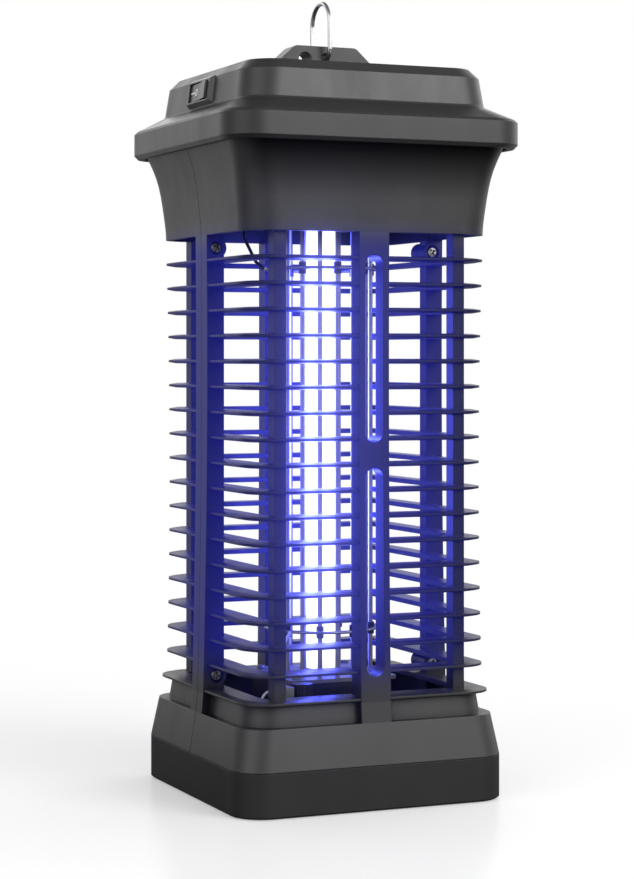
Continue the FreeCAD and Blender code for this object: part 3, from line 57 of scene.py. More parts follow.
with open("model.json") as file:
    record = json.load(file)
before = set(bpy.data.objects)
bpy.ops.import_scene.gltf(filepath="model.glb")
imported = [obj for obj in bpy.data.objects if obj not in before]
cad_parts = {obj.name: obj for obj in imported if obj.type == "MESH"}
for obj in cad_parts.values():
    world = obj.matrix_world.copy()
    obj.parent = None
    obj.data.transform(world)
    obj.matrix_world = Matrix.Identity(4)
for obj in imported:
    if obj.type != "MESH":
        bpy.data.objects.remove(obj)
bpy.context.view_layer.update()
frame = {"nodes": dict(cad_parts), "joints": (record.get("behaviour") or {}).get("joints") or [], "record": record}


# ---------------------------------------------------------------- node trees
class Tree:
    """Short calls for building a node tree."""

    def __init__(self, tree, place):
        self.tree = tree
        self.place = self.node("ShaderNodeTexCoord").outputs[place]

    def node(self, kind, inputs=None, **settings):
        made = self.tree.nodes.new(kind)
        for key, value in settings.items():
            setattr(made, key, value)
        for key, value in (inputs or {}).items():
            self.feed(made.inputs[key], value)
        return made

    def feed(self, socket, value):
        if isinstance(value, bpy.types.NodeSocket):
            self.tree.links.new(value, socket)
        else:
            socket.default_value = value

    def calc(self, operation, first, second=0.0, third=0.0):
        made = self.node("ShaderNodeMath", operation=operation)
        for socket, value in zip(made.inputs, (first, second, third)):
            self.feed(socket, value)
        return made.outputs[0]

    def spread(self, value, low, high, to_low=0.0, to_high=1.0, smooth=False):
        made = self.node("ShaderNodeMapRange", {"Value": value, "From Min": low, "From Max": high,
                                                "To Min": to_low, "To Max": to_high})
        if smooth:
            made.interpolation_type = "SMOOTHSTEP"
        return made.outputs[0]

    def vary(self, noise, to_low, to_high):
        """Noise, most of which lies between 0.3 and 0.7, spread over a range."""
        return self.spread(noise, 0.3, 0.7, to_low, to_high)

    def axes(self):
        split = self.node("ShaderNodeSeparateXYZ", {0: self.place})
        return split.outputs[0], split.outputs[1], split.outputs[2]

    def mix_shaders(self, factor, first, second):
        return self.node("ShaderNodeMixShader", {0: factor, 1: first.outputs[0], 2: second.outputs[0]})

    def stretched(self, scale):
        return self.node("ShaderNodeMapping", {"Vector": self.place, "Scale": scale}).outputs[0]

    def noise(self, scale, detail=3.0, rough=0.55, where=None):
        return self.node("ShaderNodeTexNoise", {"Vector": where or self.place, "Scale": scale,
                                                "Detail": detail, "Roughness": rough}).outputs[0]

    def tinted(self, colour, factor):
        """A colour scaled by a factor."""
        return self.node("ShaderNodeVectorMath", {0: colour[:3], "Scale": factor},
                         operation="SCALE").outputs[0]

    def blend(self, factor, first, second):
        made = self.node("ShaderNodeMix", data_type="RGBA")
        self.feed(made.inputs[0], factor)
        self.feed(made.inputs[6], solid(first))
        self.feed(made.inputs[7], solid(second))
        return made.outputs[2]

    def bump(self, height, depth, normal=None):
        made = self.node("ShaderNodeBump", {"Height": height, "Distance": depth})
        if normal is not None:
            self.feed(made.inputs["Normal"], normal)
        return made.outputs[0]

    def rounding(self, radius):
        """Shading normal that rounds sharp edges, and a mask that is 1 on them."""
        soft = self.node("ShaderNodeBevel", {"Radius": radius}, samples=4).outputs[0]
        true = self.node("ShaderNodeNewGeometry").outputs["Normal"]
        product = self.node("ShaderNodeVectorMath", {0: soft, 1: true}, operation="DOT_PRODUCT")
        return soft, self.spread(product.outputs["Value"], 0.985, 0.80)


class Finish(Tree):
    """One Principled material and the textures that drive it."""

    def __init__(self, name, **inputs):
        self.material = bpy.data.materials.new(name)
        self.material.use_nodes = True
        super().__init__(self.material.node_tree, "Object")
        self.shader = self.tree.nodes["Principled BSDF"]
        for key, value in inputs.items():
            self.shader.inputs[key.replace("_", " ")].default_value = value

    def set(self, key, value):
        self.feed(self.shader.inputs[key], value)

    def surface(self, shader):
        self.tree.links.new(shader.outputs[0], self.tree.nodes["Material Output"].inputs["Surface"])

    def from_axis(self):
        """Distance from the object's upright axis."""
        x, y, z = self.axes()
        return self.calc("SQRT", self.calc("ADD", self.calc("MULTIPLY", x, x), self.calc("MULTIPLY", y, y)))


def solid(colour):
    if isinstance(colour, bpy.types.NodeSocket):
        return colour
    return (*colour[:3], 1.0)


def plastic(name, colour, roughness, grain_mm=0.35, depth_mm=0.012, edge_mm=0.45, wear=0.35, painted_glow_and_shade=0.0,
            shine=0.5):
    """Moulded plastic: spark-eroded grain, cloudy tone, fine dust and edges rubbed a little lighter.

    painted_glow_and_shade is how strongly a violet glow, painted as emission for the tube's light, shows on it;
    any other value also lays painted shade in hollows, under the brim and over the cage; 0 leaves that out.
    """
    finish = Finish(name, Specular_IOR_Level=shine)
    cloud = finish.noise(22.0, 4.0)
    dust = finish.spread(finish.noise(900.0, 2.0, 0.7), 0.66, 0.80)
    normal, edge = finish.rounding(edge_mm * MM)
    rub = finish.calc("MULTIPLY", edge, finish.spread(finish.noise(160.0), 0.35, 0.65, 0.4, 1.0))
    tone = finish.vary(cloud, 0.92, 1.08)
    tone = finish.calc("ADD", tone, finish.calc("MULTIPLY", rub, wear))
    tone = finish.calc("ADD", tone, finish.calc("MULTIPLY", dust, 0.06))
    # painted glow from the tube, and painted shade in hollows, under the brim and over the cage
    if painted_glow_and_shade:
        tone = finish.calc("MULTIPLY", tone, paint_tube_glow_and_shade(finish, painted_glow_and_shade))
    finish.set("Base Color", finish.tinted(colour, tone))
    smear = finish.noise(55.0, 5.0, 0.65, finish.stretched((1.0, 1.0, 0.25)))
    rough = finish.vary(smear, roughness - 0.05, roughness + 0.06)
    finish.set("Roughness", finish.calc("SUBTRACT", rough, finish.calc("MULTIPLY", rub, 0.08)))
    grain = finish.noise(1.0 / (grain_mm * MM), 2.0, 0.6)
    finish.set("Normal", finish.bump(grain, depth_mm * MM, normal))
    return finish.material


def paint_tube_glow_and_shade(finish, strength):
    """Violet glow painted as emission onto the thin walls of the cage, standing in for the tube's light.

    Returns the factor that shades the plastic's own colour: painted shade in hollows, under the brim and over the
    cage.
    """
    z = finish.axes()[2]
    near = finish.spread(finish.from_axis(), 80 * MM, 30 * MM, smooth=True)
    cage = finish.calc("MULTIPLY", finish.spread(z, *CAGE_FOOT, smooth=True),
                       finish.spread(z, *CAGE_HEAD, smooth=True))
    # painted glow: violet emission on the plastic stands in for the tube's light falling on the cage
    glow = finish.calc("MULTIPLY_ADD", near, strength, 0.035)
    finish.set("Emission Color", (0.022, 0.026, 0.50, 1.0))
    finish.set("Emission Strength", finish.calc("MULTIPLY", cage, glow))
    # painted shade: ambient occlusion darkens the colour and the reflections in hollows and crevices
    openness = finish.node("ShaderNodeAmbientOcclusion", {"Distance": 14 * MM}, samples=6).outputs["AO"]
    painted_hollow_shade = finish.calc("MULTIPLY", finish.spread(openness, 0.30, 0.80, 0.25, 1.0), brim_shade(finish, z))
    shine = finish.calc("MULTIPLY", painted_hollow_shade, 0.5)
    # painted shade: reflections are dulled in hollows and over the cage
    finish.set("Specular IOR Level", finish.spread(cage, 0.0, 1.0, shine, 0.16))
    # painted shade: the colour is halved over the cage
    return finish.spread(cage, 0.0, 1.0, painted_hollow_shade, 0.5)


def brim_shade(finish, z):
    """Painted shade under the brim on the front and back of the collar, above a band of painted light lower down.
    """
    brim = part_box("front_shell")[1].z
    # painted light lower on the collar (1.35) and painted shade close under the brim (0.22)
    fall = finish.spread(z, brim - 24 * MM, brim - 5 * MM, 1.35, 0.22)
    true = finish.node("ShaderNodeNewGeometry").outputs["Normal"]
    normal = finish.node("ShaderNodeSeparateXYZ", {0: true})
    front = finish.spread(finish.calc("ABSOLUTE", normal.outputs[1]), 0.45, 0.90)
    below = finish.spread(z, brim - 40 * MM, brim - 28 * MM)
    return finish.spread(finish.calc("MULTIPLY", front, below), 0.0, 1.0, 1.0, fall)


def metal(name, colour, roughness, drawn=(1.0, 1.0, 1.0), scale=900.0, depth_mm=0.004, edge_mm=0.15,
          stain=0.12):
    """Metal with fine working marks; drawn stretches them along the axis with the small number."""
    finish = Finish(name, Metallic=1.0)
    marks = finish.noise(scale, 4.0, 0.7, finish.stretched(drawn))
    haze = finish.noise(60.0, 4.0)
    normal, edge = finish.rounding(edge_mm * MM)
    tone = finish.vary(haze, 1.0 - stain, 1.0)
    tone = finish.calc("ADD", tone, finish.calc("MULTIPLY", edge, 0.08))
    finish.set("Base Color", finish.tinted(colour, tone))
    finish.set("Roughness", finish.vary(marks, roughness * 0.7, roughness * 1.35))
    finish.set("Normal", finish.bump(marks, depth_mm * MM, normal))
    return finish.material


def glowing_tube(name):
    """Lit fluorescent tube: white to the eye, violet in the light it throws, and dimmer at its ends."""
    finish = Finish(name)
    rays = finish.node("ShaderNodeLightPath")
    facing = finish.node("ShaderNodeLayerWeight", {"Blend": 0.35}).outputs["Facing"]
    z = finish.axes()[2]
    low, high = (corner.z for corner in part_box("lamp_tube"))
    seen_ends = finish.calc("MULTIPLY", finish.spread(z, low, low + 22 * MM, 0.35, 1.0, smooth=True),
                            finish.spread(z, high, high - 22 * MM, 0.35, 1.0, smooth=True))
    thrown_ends = finish.calc("MULTIPLY", finish.spread(z, low, low + 70 * MM, 0.05, 1.0, smooth=True),
                              finish.spread(z, high, high - 45 * MM, 0.15, 1.0, smooth=True))
    cloud = finish.noise(70.0, 2.0, where=finish.stretched((1.0, 1.0, 0.4)))
    flicker = finish.vary(cloud, 0.93, 1.05)
    seen_colour = finish.blend(finish.spread(facing, 0.25, 0.95), (1.0, 1.0, 1.0), (0.50, 0.66, 1.0))
    brightness = finish.calc("MULTIPLY", finish.calc("MULTIPLY", seen_ends, flicker), 2.2)
    seen = finish.node("ShaderNodeEmission", {"Color": seen_colour, "Strength": brightness})
    thrown = finish.node("ShaderNodeEmission", {
        "Color": (0.10, 0.12, 1.0, 1.0), "Strength": finish.calc("MULTIPLY", thrown_ends, 50.0)})
    finish.surface(finish.mix_shaders(rays.outputs["Is Camera Ray"], thrown, seen))
    return finish.material


def milky(name):
    """White insulating thermoset: slightly translucent, with faint flow marks."""
    finish = Finish(name, Subsurface_Weight=0.25, Subsurface_Scale=0.002)
    flow = finish.noise(35.0, 5.0, 0.6, finish.stretched((1.0, 2.2, 1.0)))
    normal, edge = finish.rounding(0.3 * MM)
    finish.set("Base Color", finish.tinted((0.22, 0.225, 0.26), finish.vary(flow, 0.93, 1.02)))
    finish.set("Roughness", finish.vary(flow, 0.22, 0.36))
    finish.set("Normal", finish.bump(finish.noise(1500.0, 2.0), 0.004 * MM, normal))
    return finish.material


def laminate(name):
    """Solder mask over fibreglass, with the pattern of tracks showing through."""
    finish = Finish(name)
    tracks = finish.node("ShaderNodeTexBrick", {
        "Vector": finish.place, "Scale": 180.0, "Mortar Size": 0.03, "Color1": (0.02, 0.16, 0.06, 1.0),
        "Color2": (0.015, 0.11, 0.045, 1.0), "Mortar": (0.05, 0.30, 0.10, 1.0)}, offset=0.37)
    finish.set("Base Color", tracks.outputs["Color"])
    weave = finish.node("ShaderNodeTexWave", {"Vector": finish.place, "Scale": 900.0, "Distortion": 1.0})
    finish.set("Roughness", finish.vary(finish.noise(80.0), 0.25, 0.4))
    height = finish.calc("ADD", tracks.outputs["Fac"], finish.calc("MULTIPLY", weave.outputs["Fac"], 0.3))
    finish.set("Normal", finish.bump(height, 0.03 * MM))
    return finish.material


def winding(name):
    """Enamelled wire wound round the core in close turns."""
    finish = Finish(name, Metallic=0.9)
    turns = finish.node("ShaderNodeTexWave", {"Vector": finish.place, "Scale": 480.0, "Distortion": 0.3,
                                              "Detail": 1.0}, bands_direction="X")
    finish.set("Base Color", finish.blend(turns.outputs["Fac"], (0.28, 0.09, 0.03), (0.72, 0.36, 0.17)))
    finish.set("Roughness", finish.spread(turns.outputs["Fac"], 0.0, 1.0, 0.45, 0.25))
    finish.set("Normal", finish.bump(turns.outputs["Fac"], 0.15 * MM))
    return finish.material


def rubber(name):
    finish = Finish(name)
    grain = finish.noise(1800.0, 3.0)
    scuff = finish.spread(finish.noise(300.0, 4.0), 0.55, 0.75)
    finish.set("Base Color", finish.blend(scuff, (0.018, 0.018, 0.019), (0.05, 0.05, 0.05)))
    finish.set("Roughness", finish.spread(scuff, 0.0, 1.0, 0.72, 0.9))
    finish.set("Normal", finish.bump(grain, 0.03 * MM))
    return finish.material


CHARCOAL = (0.030, 0.030, 0.031)
BLACK = (0.014, 0.014, 0.016)
finishes = {
    # charcoal with a painted violet glow and painted shade
    "charcoal_plastic": plastic("charcoal_plastic", CHARCOAL, 0.35, painted_glow_and_shade=0.42),
    "cover_plastic": plastic("cover_plastic", CHARCOAL, 0.35, shine=0.46),
    # a darker copy of the charcoal plastic: painted shade on the catch tray's upright sides, which get less light
    # from above
    "tray_plastic_painted_shade": plastic("tray_plastic_painted_shade", (0.022, 0.022, 0.023), 0.44, shine=0.40),
    "black_plastic": plastic("black_plastic", BLACK, 0.38, edge_mm=0.3),
    "switch_black": plastic("switch_black", (0.050, 0.050, 0.054), 0.30, 0.25, 0.006, 0.3),
    "bead_ceramic": plastic("bead_ceramic", (0.018, 0.018, 0.024), 0.20, 0.4, 0.004, 0.3, wear=0.8),
    "ferrite": plastic("ferrite", (0.03, 0.03, 0.032), 0.55, 0.2, 0.02, 0.3, wear=0.8),
    "capacitor_film": plastic("capacitor_film", (0.42, 0.07, 0.03), 0.25, 1.2, 0.02, 0.8),
    "capacitor_sleeve": plastic("capacitor_sleeve", (0.02, 0.028, 0.09), 0.28, 1.5, 0.01, 0.5),
    "terminal_green": plastic("terminal_green", (0.04, 0.22, 0.10), 0.35),
    "lead_white": plastic("lead_white", (0.72, 0.72, 0.70), 0.40, 0.8, 0.006, 0.2, wear=0.05),
    "lead_red": plastic("lead_red", (0.42, 0.03, 0.02), 0.40, 0.8, 0.006, 0.2, wear=0.05),
    "lead_black": plastic("lead_black", (0.020, 0.020, 0.022), 0.40, 0.8, 0.006, 0.2, wear=0.05),
    "mark_white": plastic("mark_white", (0.90, 0.90, 0.90), 0.45, 0.2, 0.006, 0.1, wear=0.0),
    "grid_wire": metal("grid_wire", (0.42, 0.42, 0.50), 0.30, drawn=(1.0, 1.0, 0.02), scale=2200.0),
    "lamp_aluminium": metal("lamp_aluminium", (0.36, 0.36, 0.38), 0.34, drawn=(1.0, 1.0, 8.0), scale=300.0),
    "brass": metal("brass", (0.36, 0.26, 0.12), 0.28, scale=1200.0),
    "ring_chrome": metal("ring_chrome", (0.62, 0.63, 0.64), 0.16, scale=500.0, depth_mm=0.0015,
                         stain=0.05),
    "terminal_steel": metal("terminal_steel", (0.30, 0.305, 0.32), 0.33, drawn=(1.0, 1.0, 0.05),
                            scale=2500.0),
    "zinc_steel": metal("zinc_steel", (0.28, 0.285, 0.30), 0.34, scale=1100.0, stain=0.25),
    "white_insulator": milky("white_insulator"),
    "lamp_glass": glowing_tube("lamp_glass"),
    "foot_rubber": rubber("foot_rubber"),
    "board_laminate": laminate("board_laminate"),
    "copper_winding": winding("copper_winding"),
}
# nodes whose finish isn't the one that their material slot names
SPECIAL = {"top_cover": "cover_plastic", "catch_tray": "tray_plastic_painted_shade", "high_voltage_lead": "lead_black"}
for row in frame["record"]["subparts"]:
    name = row["node"]
    mesh = frame["nodes"][name].data
    mesh.materials.clear()
    mesh.materials.append(finishes[SPECIAL.get(name, row["material_slot"])])


# ---------------------------------------------------------------- mesh detail
def piece(name, mesh, slot, body, *stands_for, finish=None, smooth=True):
    """Add a finished mesh as a piece of the object that rides on a body."""
    made = bpy.data.objects.new(name, mesh)
    bpy.context.scene.collection.objects.link(made)
    mesh.materials.append(finishes[finish or slot])
    if smooth:
        for face in mesh.polygons:
            face.use_smooth = True
    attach(made, body)
    if stands_for:
        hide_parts(*stands_for)
    return made


def mesh_from(name, bm):
    bmesh.ops.remove_doubles(bm, verts=bm.verts, dist=1e-7)
    bmesh.ops.recalc_face_normals(bm, faces=bm.faces)
    mesh = bpy.data.meshes.new(name)
    bm.to_mesh(mesh)
    bm.free()
    return mesh


def islands(node):
    """Lowest and highest corner of each separate solid in a CAD node, lowest solid first."""
    bm = bmesh.new()
    bm.from_mesh(frame["nodes"][node].data)
    bmesh.ops.remove_doubles(bm, verts=bm.verts, dist=1e-6)
    found, seen = [], set()
    for vertex in bm.verts:
        if vertex in seen:
            continue
        group, front = [], [vertex]
        seen.add(vertex)
        while front:
            here = front.pop()
            group.append(here.co.copy())
            for edge in here.link_edges:
                other = edge.other_vert(here)
                if other not in seen:
                    seen.add(other)
                    front.append(other)
        low = Vector(min(co[i] for co in group) for i in range(3))
        high = Vector(max(co[i] for co in group) for i in range(3))
        found.append((low, high))
    bm.free()
    return sorted(found, key=lambda pair: [round(value, 5) for value in (pair[0].z, pair[0].x, pair[0].y)])


def turns(steps):
    """Equal steps of angle once round."""
    return [2 * math.pi * step / steps for step in range(steps)]


def lathe(bm, profile, matrix, steps=32):
    """Turn a profile of (radius, height) pairs round the local Z axis."""
    rings = []
    for radius, height in profile:
        if radius < 1e-7:
            rings.append([bm.verts.new(matrix @ Vector((0, 0, height)))])
            continue
        rings.append([bm.verts.new(matrix @ Vector((radius * math.cos(t), radius * math.sin(t), height)))
                      for t in turns(steps)])
    for lower, upper in zip(rings, rings[1:]):
        for step in range(steps):
            after = (step + 1) % steps
            corners = [lower[step % len(lower)], lower[after % len(lower)],
                       upper[after % len(upper)], upper[step % len(upper)]]
            bm.faces.new(list(dict.fromkeys(corners)))


def cross_head(bm, matrix, radius, height, shank_radius, shank_length, steps=32):
    """Pan-head screw with a cross recess; the head's top looks along local +Z from its underside at 0."""
    slot_half, slot_reach, slot_depth = 0.17 * radius, 0.56 * radius, 0.55 * height
    reach = [(slot_half, slot_half), (slot_reach, slot_half * 0.75)]
    outline = []
    for quarter in range(4):
        turn = Matrix.Rotation(quarter * math.pi / 2, 3, "Z")
        outline += [turn @ Vector((along, across, 0)) for along, across in
                    ((reach[1][0], -reach[1][1]), reach[1], reach[0])]
    top = height * 0.97
    rim = [bm.verts.new(matrix @ Vector((p.x, p.y, top))) for p in outline]
    deep = [bm.verts.new(matrix @ Vector((p.x * 0.7, p.y * 0.7, top - slot_depth))) for p in outline]
    count = len(outline)
    for i in range(count):
        bm.faces.new([rim[i], rim[(i + 1) % count], deep[(i + 1) % count], deep[i]])
    bm.faces.new(deep[::-1])
    shoulder_radius, shoulder_height = 0.72 * radius, height * 0.93
    shoulder = [bm.verts.new(matrix @ Vector((shoulder_radius * math.cos(t), shoulder_radius * math.sin(t),
                                              shoulder_height))) for t in turns(steps)]
    bridge_rings(bm, rim, shoulder, matrix)
    profile = [(shoulder_radius, shoulder_height), (0.88 * radius, height * 0.80),
               (0.97 * radius, height * 0.55), (radius, height * 0.28), (radius, 0.04 * height),
               (0.97 * radius, 0.0), (shank_radius, 0.0)]
    for thread in range(int(shank_length / THREAD_PITCH)):
        z = -thread * THREAD_PITCH
        profile += [(shank_radius * 0.84, z - 0.2 * THREAD_PITCH), (shank_radius, z - 0.5 * THREAD_PITCH),
                    (shank_radius * 0.84, z - 0.8 * THREAD_PITCH)]
    profile += [(shank_radius * 0.6, -shank_length * 0.97), (0.0, -shank_length)]
    lathe(bm, profile, matrix, steps)


def bridge_rings(bm, inner, outer, matrix):
    """Join two closed loops with different numbers of points by angle round the local axis."""
    inverse = matrix.inverted()

    def angle(vertex):
        local = inverse @ vertex.co
        return math.atan2(local.y, local.x) % (2 * math.pi)

    inner_order = sorted(inner, key=angle)
    outer_order = sorted(outer, key=angle)
    i = j = 0
    while i < len(inner_order) or j < len(outer_order):
        a, b = inner_order[i % len(inner_order)], outer_order[j % len(outer_order)]
        next_a = inner_order[(i + 1) % len(inner_order)]
        next_b = outer_order[(j + 1) % len(outer_order)]
        turn_a = angle(next_a) + (2 * math.pi if i + 1 >= len(inner_order) else 0)
        turn_b = angle(next_b) + (2 * math.pi if j + 1 >= len(outer_order) else 0)
        if j >= len(outer_order) or (i < len(inner_order) and turn_a <= turn_b):
            bm.faces.new([a, b, next_a])
            i += 1
        else:
            bm.faces.new([a, b, next_b])
            j += 1


FACING = {"+Z": Matrix.Identity(4), "-Z": Matrix.Rotation(math.pi, 4, "X"),
          "-Y": Matrix.Rotation(math.pi / 2, 4, "X")}


def screws(node, facing_of, head_radius, head_height, shank_radius):
    """Stand-in with real heads for a CAD group of screws; facing_of says where a head looks."""
    bm = bmesh.new()
    for low, high in islands(node):
        facing = facing_of(low)
        middle = (low + high) / 2
        length = (high.y - low.y if facing == "-Y" else high.z - low.z) - head_height
        if facing == "-Y":
            seat = Vector((middle.x, low.y + head_height, middle.z))
        elif facing == "+Z":
            seat = Vector((middle.x, middle.y, high.z - head_height))
        else:
            seat = Vector((middle.x, middle.y, low.z + head_height))
        turn = Matrix.Rotation(0.4 + 11.0 * (middle.x + 2 * middle.y + 3 * middle.z), 4, "Z")
        cross_head(bm, Matrix.Translation(seat) @ FACING[facing] @ turn, head_radius, head_height,
                   shank_radius, length)
    piece(f"{node}_cross_headed", mesh_from(node, bm), "zinc_steel", ROOT, node, smooth=False)


screws("case_screws", lambda low: "-Y", *BODY_SCREW)
screws("deck_screws", lambda low: "-Z", *BODY_SCREW)
screws("cover_screws", lambda low: "-Z", *BODY_SCREW)
screws("board_screws", lambda low: "+Z", *SMALL_SCREW)
screws("insulator_screws", lambda low: "+Z" if low.z < CAGE_MIDDLE else "-Z", *SMALL_SCREW)


def loop_path(half, low, high, corner):
    """Points and outward directions, as (y, z) pairs, of a half circle on two legs with rounded feet."""
    shoulder = high - half
    bends = ((0.0, shoulder, half, 0, 180, 72), (corner - half, low + corner, corner, 180, 270, 14),
             (half - corner, low + corner, corner, 270, 360, 14))
    points = []
    for centre_y, centre_z, radius, start, end, steps in bends:
        for step in range(steps + 1):
            turn = math.radians(start + (end - start) * step / steps)
            outward = (math.cos(turn), math.sin(turn))
            points.append(((centre_y + radius * outward[0], centre_z + radius * outward[1]), outward))
    return points


def build_hanging_ring():
    """Bent wire loop, with the fine butt joint where its ends meet."""
    low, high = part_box("hanging_ring")
    wire = (high.x - low.x) / 2
    middle = (low.y + high.y) / 2
    corner = 4.0 * MM
    path = loop_path((high.y - low.y) / 2 - wire, low.z + wire, high.z - wire, corner)
    section, joint_at, joint_depth = 28, 30, 0.09
    bm = bmesh.new()
    rings = []
    for step, (spot, outward) in enumerate(path):
        thin = wire * (1 - joint_depth) if step == joint_at else wire
        centre = Vector((0.0, middle + spot[0], spot[1]))
        spoke = Vector((0.0, outward[0], outward[1]))
        rings.append([bm.verts.new(centre + spoke * thin * math.cos(small)
                                   + Vector((thin * math.sin(small), 0, 0))) for small in turns(section)])
    for step, here in enumerate(rings):
        after = rings[(step + 1) % len(rings)]
        for k in range(section):
            bm.faces.new([here[k], here[(k + 1) % section], after[(k + 1) % section], after[k]])
    piece("hanging_ring_wire", mesh_from("hanging_ring_wire", bm), "ring_chrome", "ring", "hanging_ring")


build_hanging_ring()


def build_knurl():
    """Diamond pattern moulded into the four sides of the base box."""
    low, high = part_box("base_box")
    pitch, relief, margin, sunk = 1.7 * MM, 0.22 * MM, 0.8 * MM, 0.01 * MM
    arm = pitch * 0.46
    centre = (low + high) / 2
    half = (high.x - low.x) / 2
    bm = bmesh.new()
    rows = int((high.z - low.z - 2 * margin) / pitch)
    columns = int(2 * (half - margin) / pitch)
    for side in range(4):
        turn = Matrix.Translation((centre.x, centre.y, 0)) @ Matrix.Rotation(side * math.pi / 2, 4, "Z")
        for row in range(rows):
            for column in range(columns):
                x = (column - (columns - 1) / 2) * pitch
                z = centre.z + (row - (rows - 1) / 2) * pitch
                for shift_x, shift_z in ((0, 0), (pitch / 2, pitch / 2)):
                    if shift_x and (column == columns - 1 or row == rows - 1):
                        continue
                    spot = Vector((x + shift_x, -half, z + shift_z))
                    tips = [bm.verts.new(turn @ (spot + Vector(offset))) for offset in
                            ((arm, sunk, 0), (0, sunk, arm), (-arm, sunk, 0), (0, sunk, -arm))]
                    peak = bm.verts.new(turn @ (spot + Vector((0, -relief, 0))))
                    for k in range(4):
                        bm.faces.new([tips[k], tips[(k + 1) % 4], peak])
                    bm.faces.new(tips[::-1])
    piece("base_box_knurl", mesh_from("base_box_knurl", bm), "black_plastic", ROOT, smooth=False)


build_knurl()


def build_rocker_marks():
    """Generic on and off marks inlaid in the rear half of the rocker."""
    swivel = next(joint for joint in frame["joints"] if joint["name"] == "rocker_press")
    up = Vector(swivel["axis"]).normalized()
    along = Vector((0, 1, 0))
    outwards = up.cross(along).normalized()
    if outwards.x > 0:
        outwards = -outwards
    bm = bmesh.new()
    middle = Vector(swivel["pos_m"])
    proud, sunk, line_half, reach = 0.06 * MM, 0.10 * MM, 0.36 * MM, 12 * MM
    circle_at, circle_radius = 2.8 * MM, 1.2 * MM
    bar = (4.7 * MM, 7.0 * MM, 9.4 * MM)

    def surface(y_at, up_at):
        """Point on the rocker's outer face at a place along and across it."""
        start = Vector((middle.x, y_at, middle.z)) + up * up_at + outwards * reach
        hit, spot = frame["nodes"]["switch_rocker"].ray_cast(start, -outwards)[:2]
        return spot if hit else start - outwards * reach

    def ribbon(points, half, closed):
        """Flat raised line through points given as (along, up)."""
        count = len(points)
        inner, outer = [], []
        for k in range(count):
            before = points[k - 1] if closed or k else points[k]
            after = points[(k + 1) % count] if closed or k < count - 1 else points[k]
            direction = Vector((after[0] - before[0], after[1] - before[1])).normalized()
            sideways = Vector((-direction.y, direction.x)) * half
            for store, sign in ((inner, -1), (outer, 1)):
                face = surface(points[k][0] + sign * sideways.x, points[k][1] + sign * sideways.y)
                store.append((bm.verts.new(face + outwards * proud), bm.verts.new(face - outwards * sunk)))
        spans = range(count) if closed else range(count - 1)
        for k in spans:
            j = (k + 1) % count
            bm.faces.new([inner[k][0], inner[j][0], outer[j][0], outer[k][0]])
            bm.faces.new([inner[k][1], outer[k][1], outer[j][1], inner[j][1]])
            bm.faces.new([inner[k][0], inner[k][1], inner[j][1], inner[j][0]])
            bm.faces.new([outer[k][0], outer[j][0], outer[j][1], outer[k][1]])
        if not closed:
            for k in (0, count - 1):
                bm.faces.new([inner[k][0], outer[k][0], outer[k][1], inner[k][1]])

    ribbon([(circle_at + circle_radius * math.cos(t), circle_radius * math.sin(t)) for t in turns(28)],
           line_half, True)
    ribbon([(at, 0.0) for at in bar], line_half, False)
    piece("rocker_marks", mesh_from("rocker_marks", bm), "switch_black", "rocker", finish="mark_white",
          smooth=False)


build_rocker_marks()


def build_feet():
    """Moulded rubber feet with a rounded rim and a shallow dish underneath."""
    bm = bmesh.new()
    for low, high in islands("rubber_feet"):
        centre = (low + high) / 2
        radius, height = (high.x - low.x) / 2, high.z - low.z
        profile = [(0.0, 0.35 * MM), (radius * 0.42, 0.35 * MM), (radius * 0.47, 0.25 * MM),
                   (radius * 0.5, 0.02 * MM), (radius * 0.55, 0.0), (radius * 0.86, 0.0),
                   (radius * 0.93, 0.05 * MM), (radius * 0.98, 0.18 * MM), (radius, 0.4 * MM),
                   (radius, height), (0.0, height)]
        lathe(bm, profile, Matrix.Translation((centre.x, centre.y, low.z)), 48)
    piece("rubber_feet_moulded", mesh_from("rubber_feet_moulded", bm), "foot_rubber", "tray",
          "rubber_feet")


build_feet()


# ---------------------------------------------------------------- stage, light and camera
def stage_material():
    """Pale floor that keeps soft shadows near the object and fades into the white surroundings.

    Rays that don't come from the camera meet a dark floor near the object, which keeps its undersides
    in shade, and none further out.
    """
    finish = Finish("floor_paper")
    fade = finish.spread(finish.from_axis(), 0.16, 0.60, smooth=True)
    fibre = finish.vary(finish.noise(240.0, 5.0), 0.98, 1.0)
    paper = finish.node("ShaderNodeBsdfDiffuse", {"Color": finish.tinted((0.9, 0.9, 0.9), fibre)})
    glow = finish.node("ShaderNodeEmission", {"Strength": 0.33})
    gloss = finish.node("ShaderNodeBsdfGlossy", {"Color": (0.78, 0.78, 0.78, 1.0), "Roughness": 0.20})
    sheen = finish.mix_shaders(0.20, paper, gloss)
    lit = finish.node("ShaderNodeAddShader", {0: sheen.outputs[0], 1: glow.outputs[0]})
    white = finish.node("ShaderNodeEmission", {"Strength": 1.0})
    grey = finish.node("ShaderNodeBsdfDiffuse", {"Color": (0.10, 0.10, 0.10, 1.0)})
    clear = finish.node("ShaderNodeBsdfTransparent")
    unseen = finish.mix_shaders(finish.spread(finish.from_axis(), 0.25, 0.50), grey, clear)
    rays = finish.node("ShaderNodeLightPath")
    shown = finish.mix_shaders(fade, lit, white)
    finish.surface(finish.mix_shaders(rays.outputs["Is Camera Ray"], unseen, shown))
    return finish.material


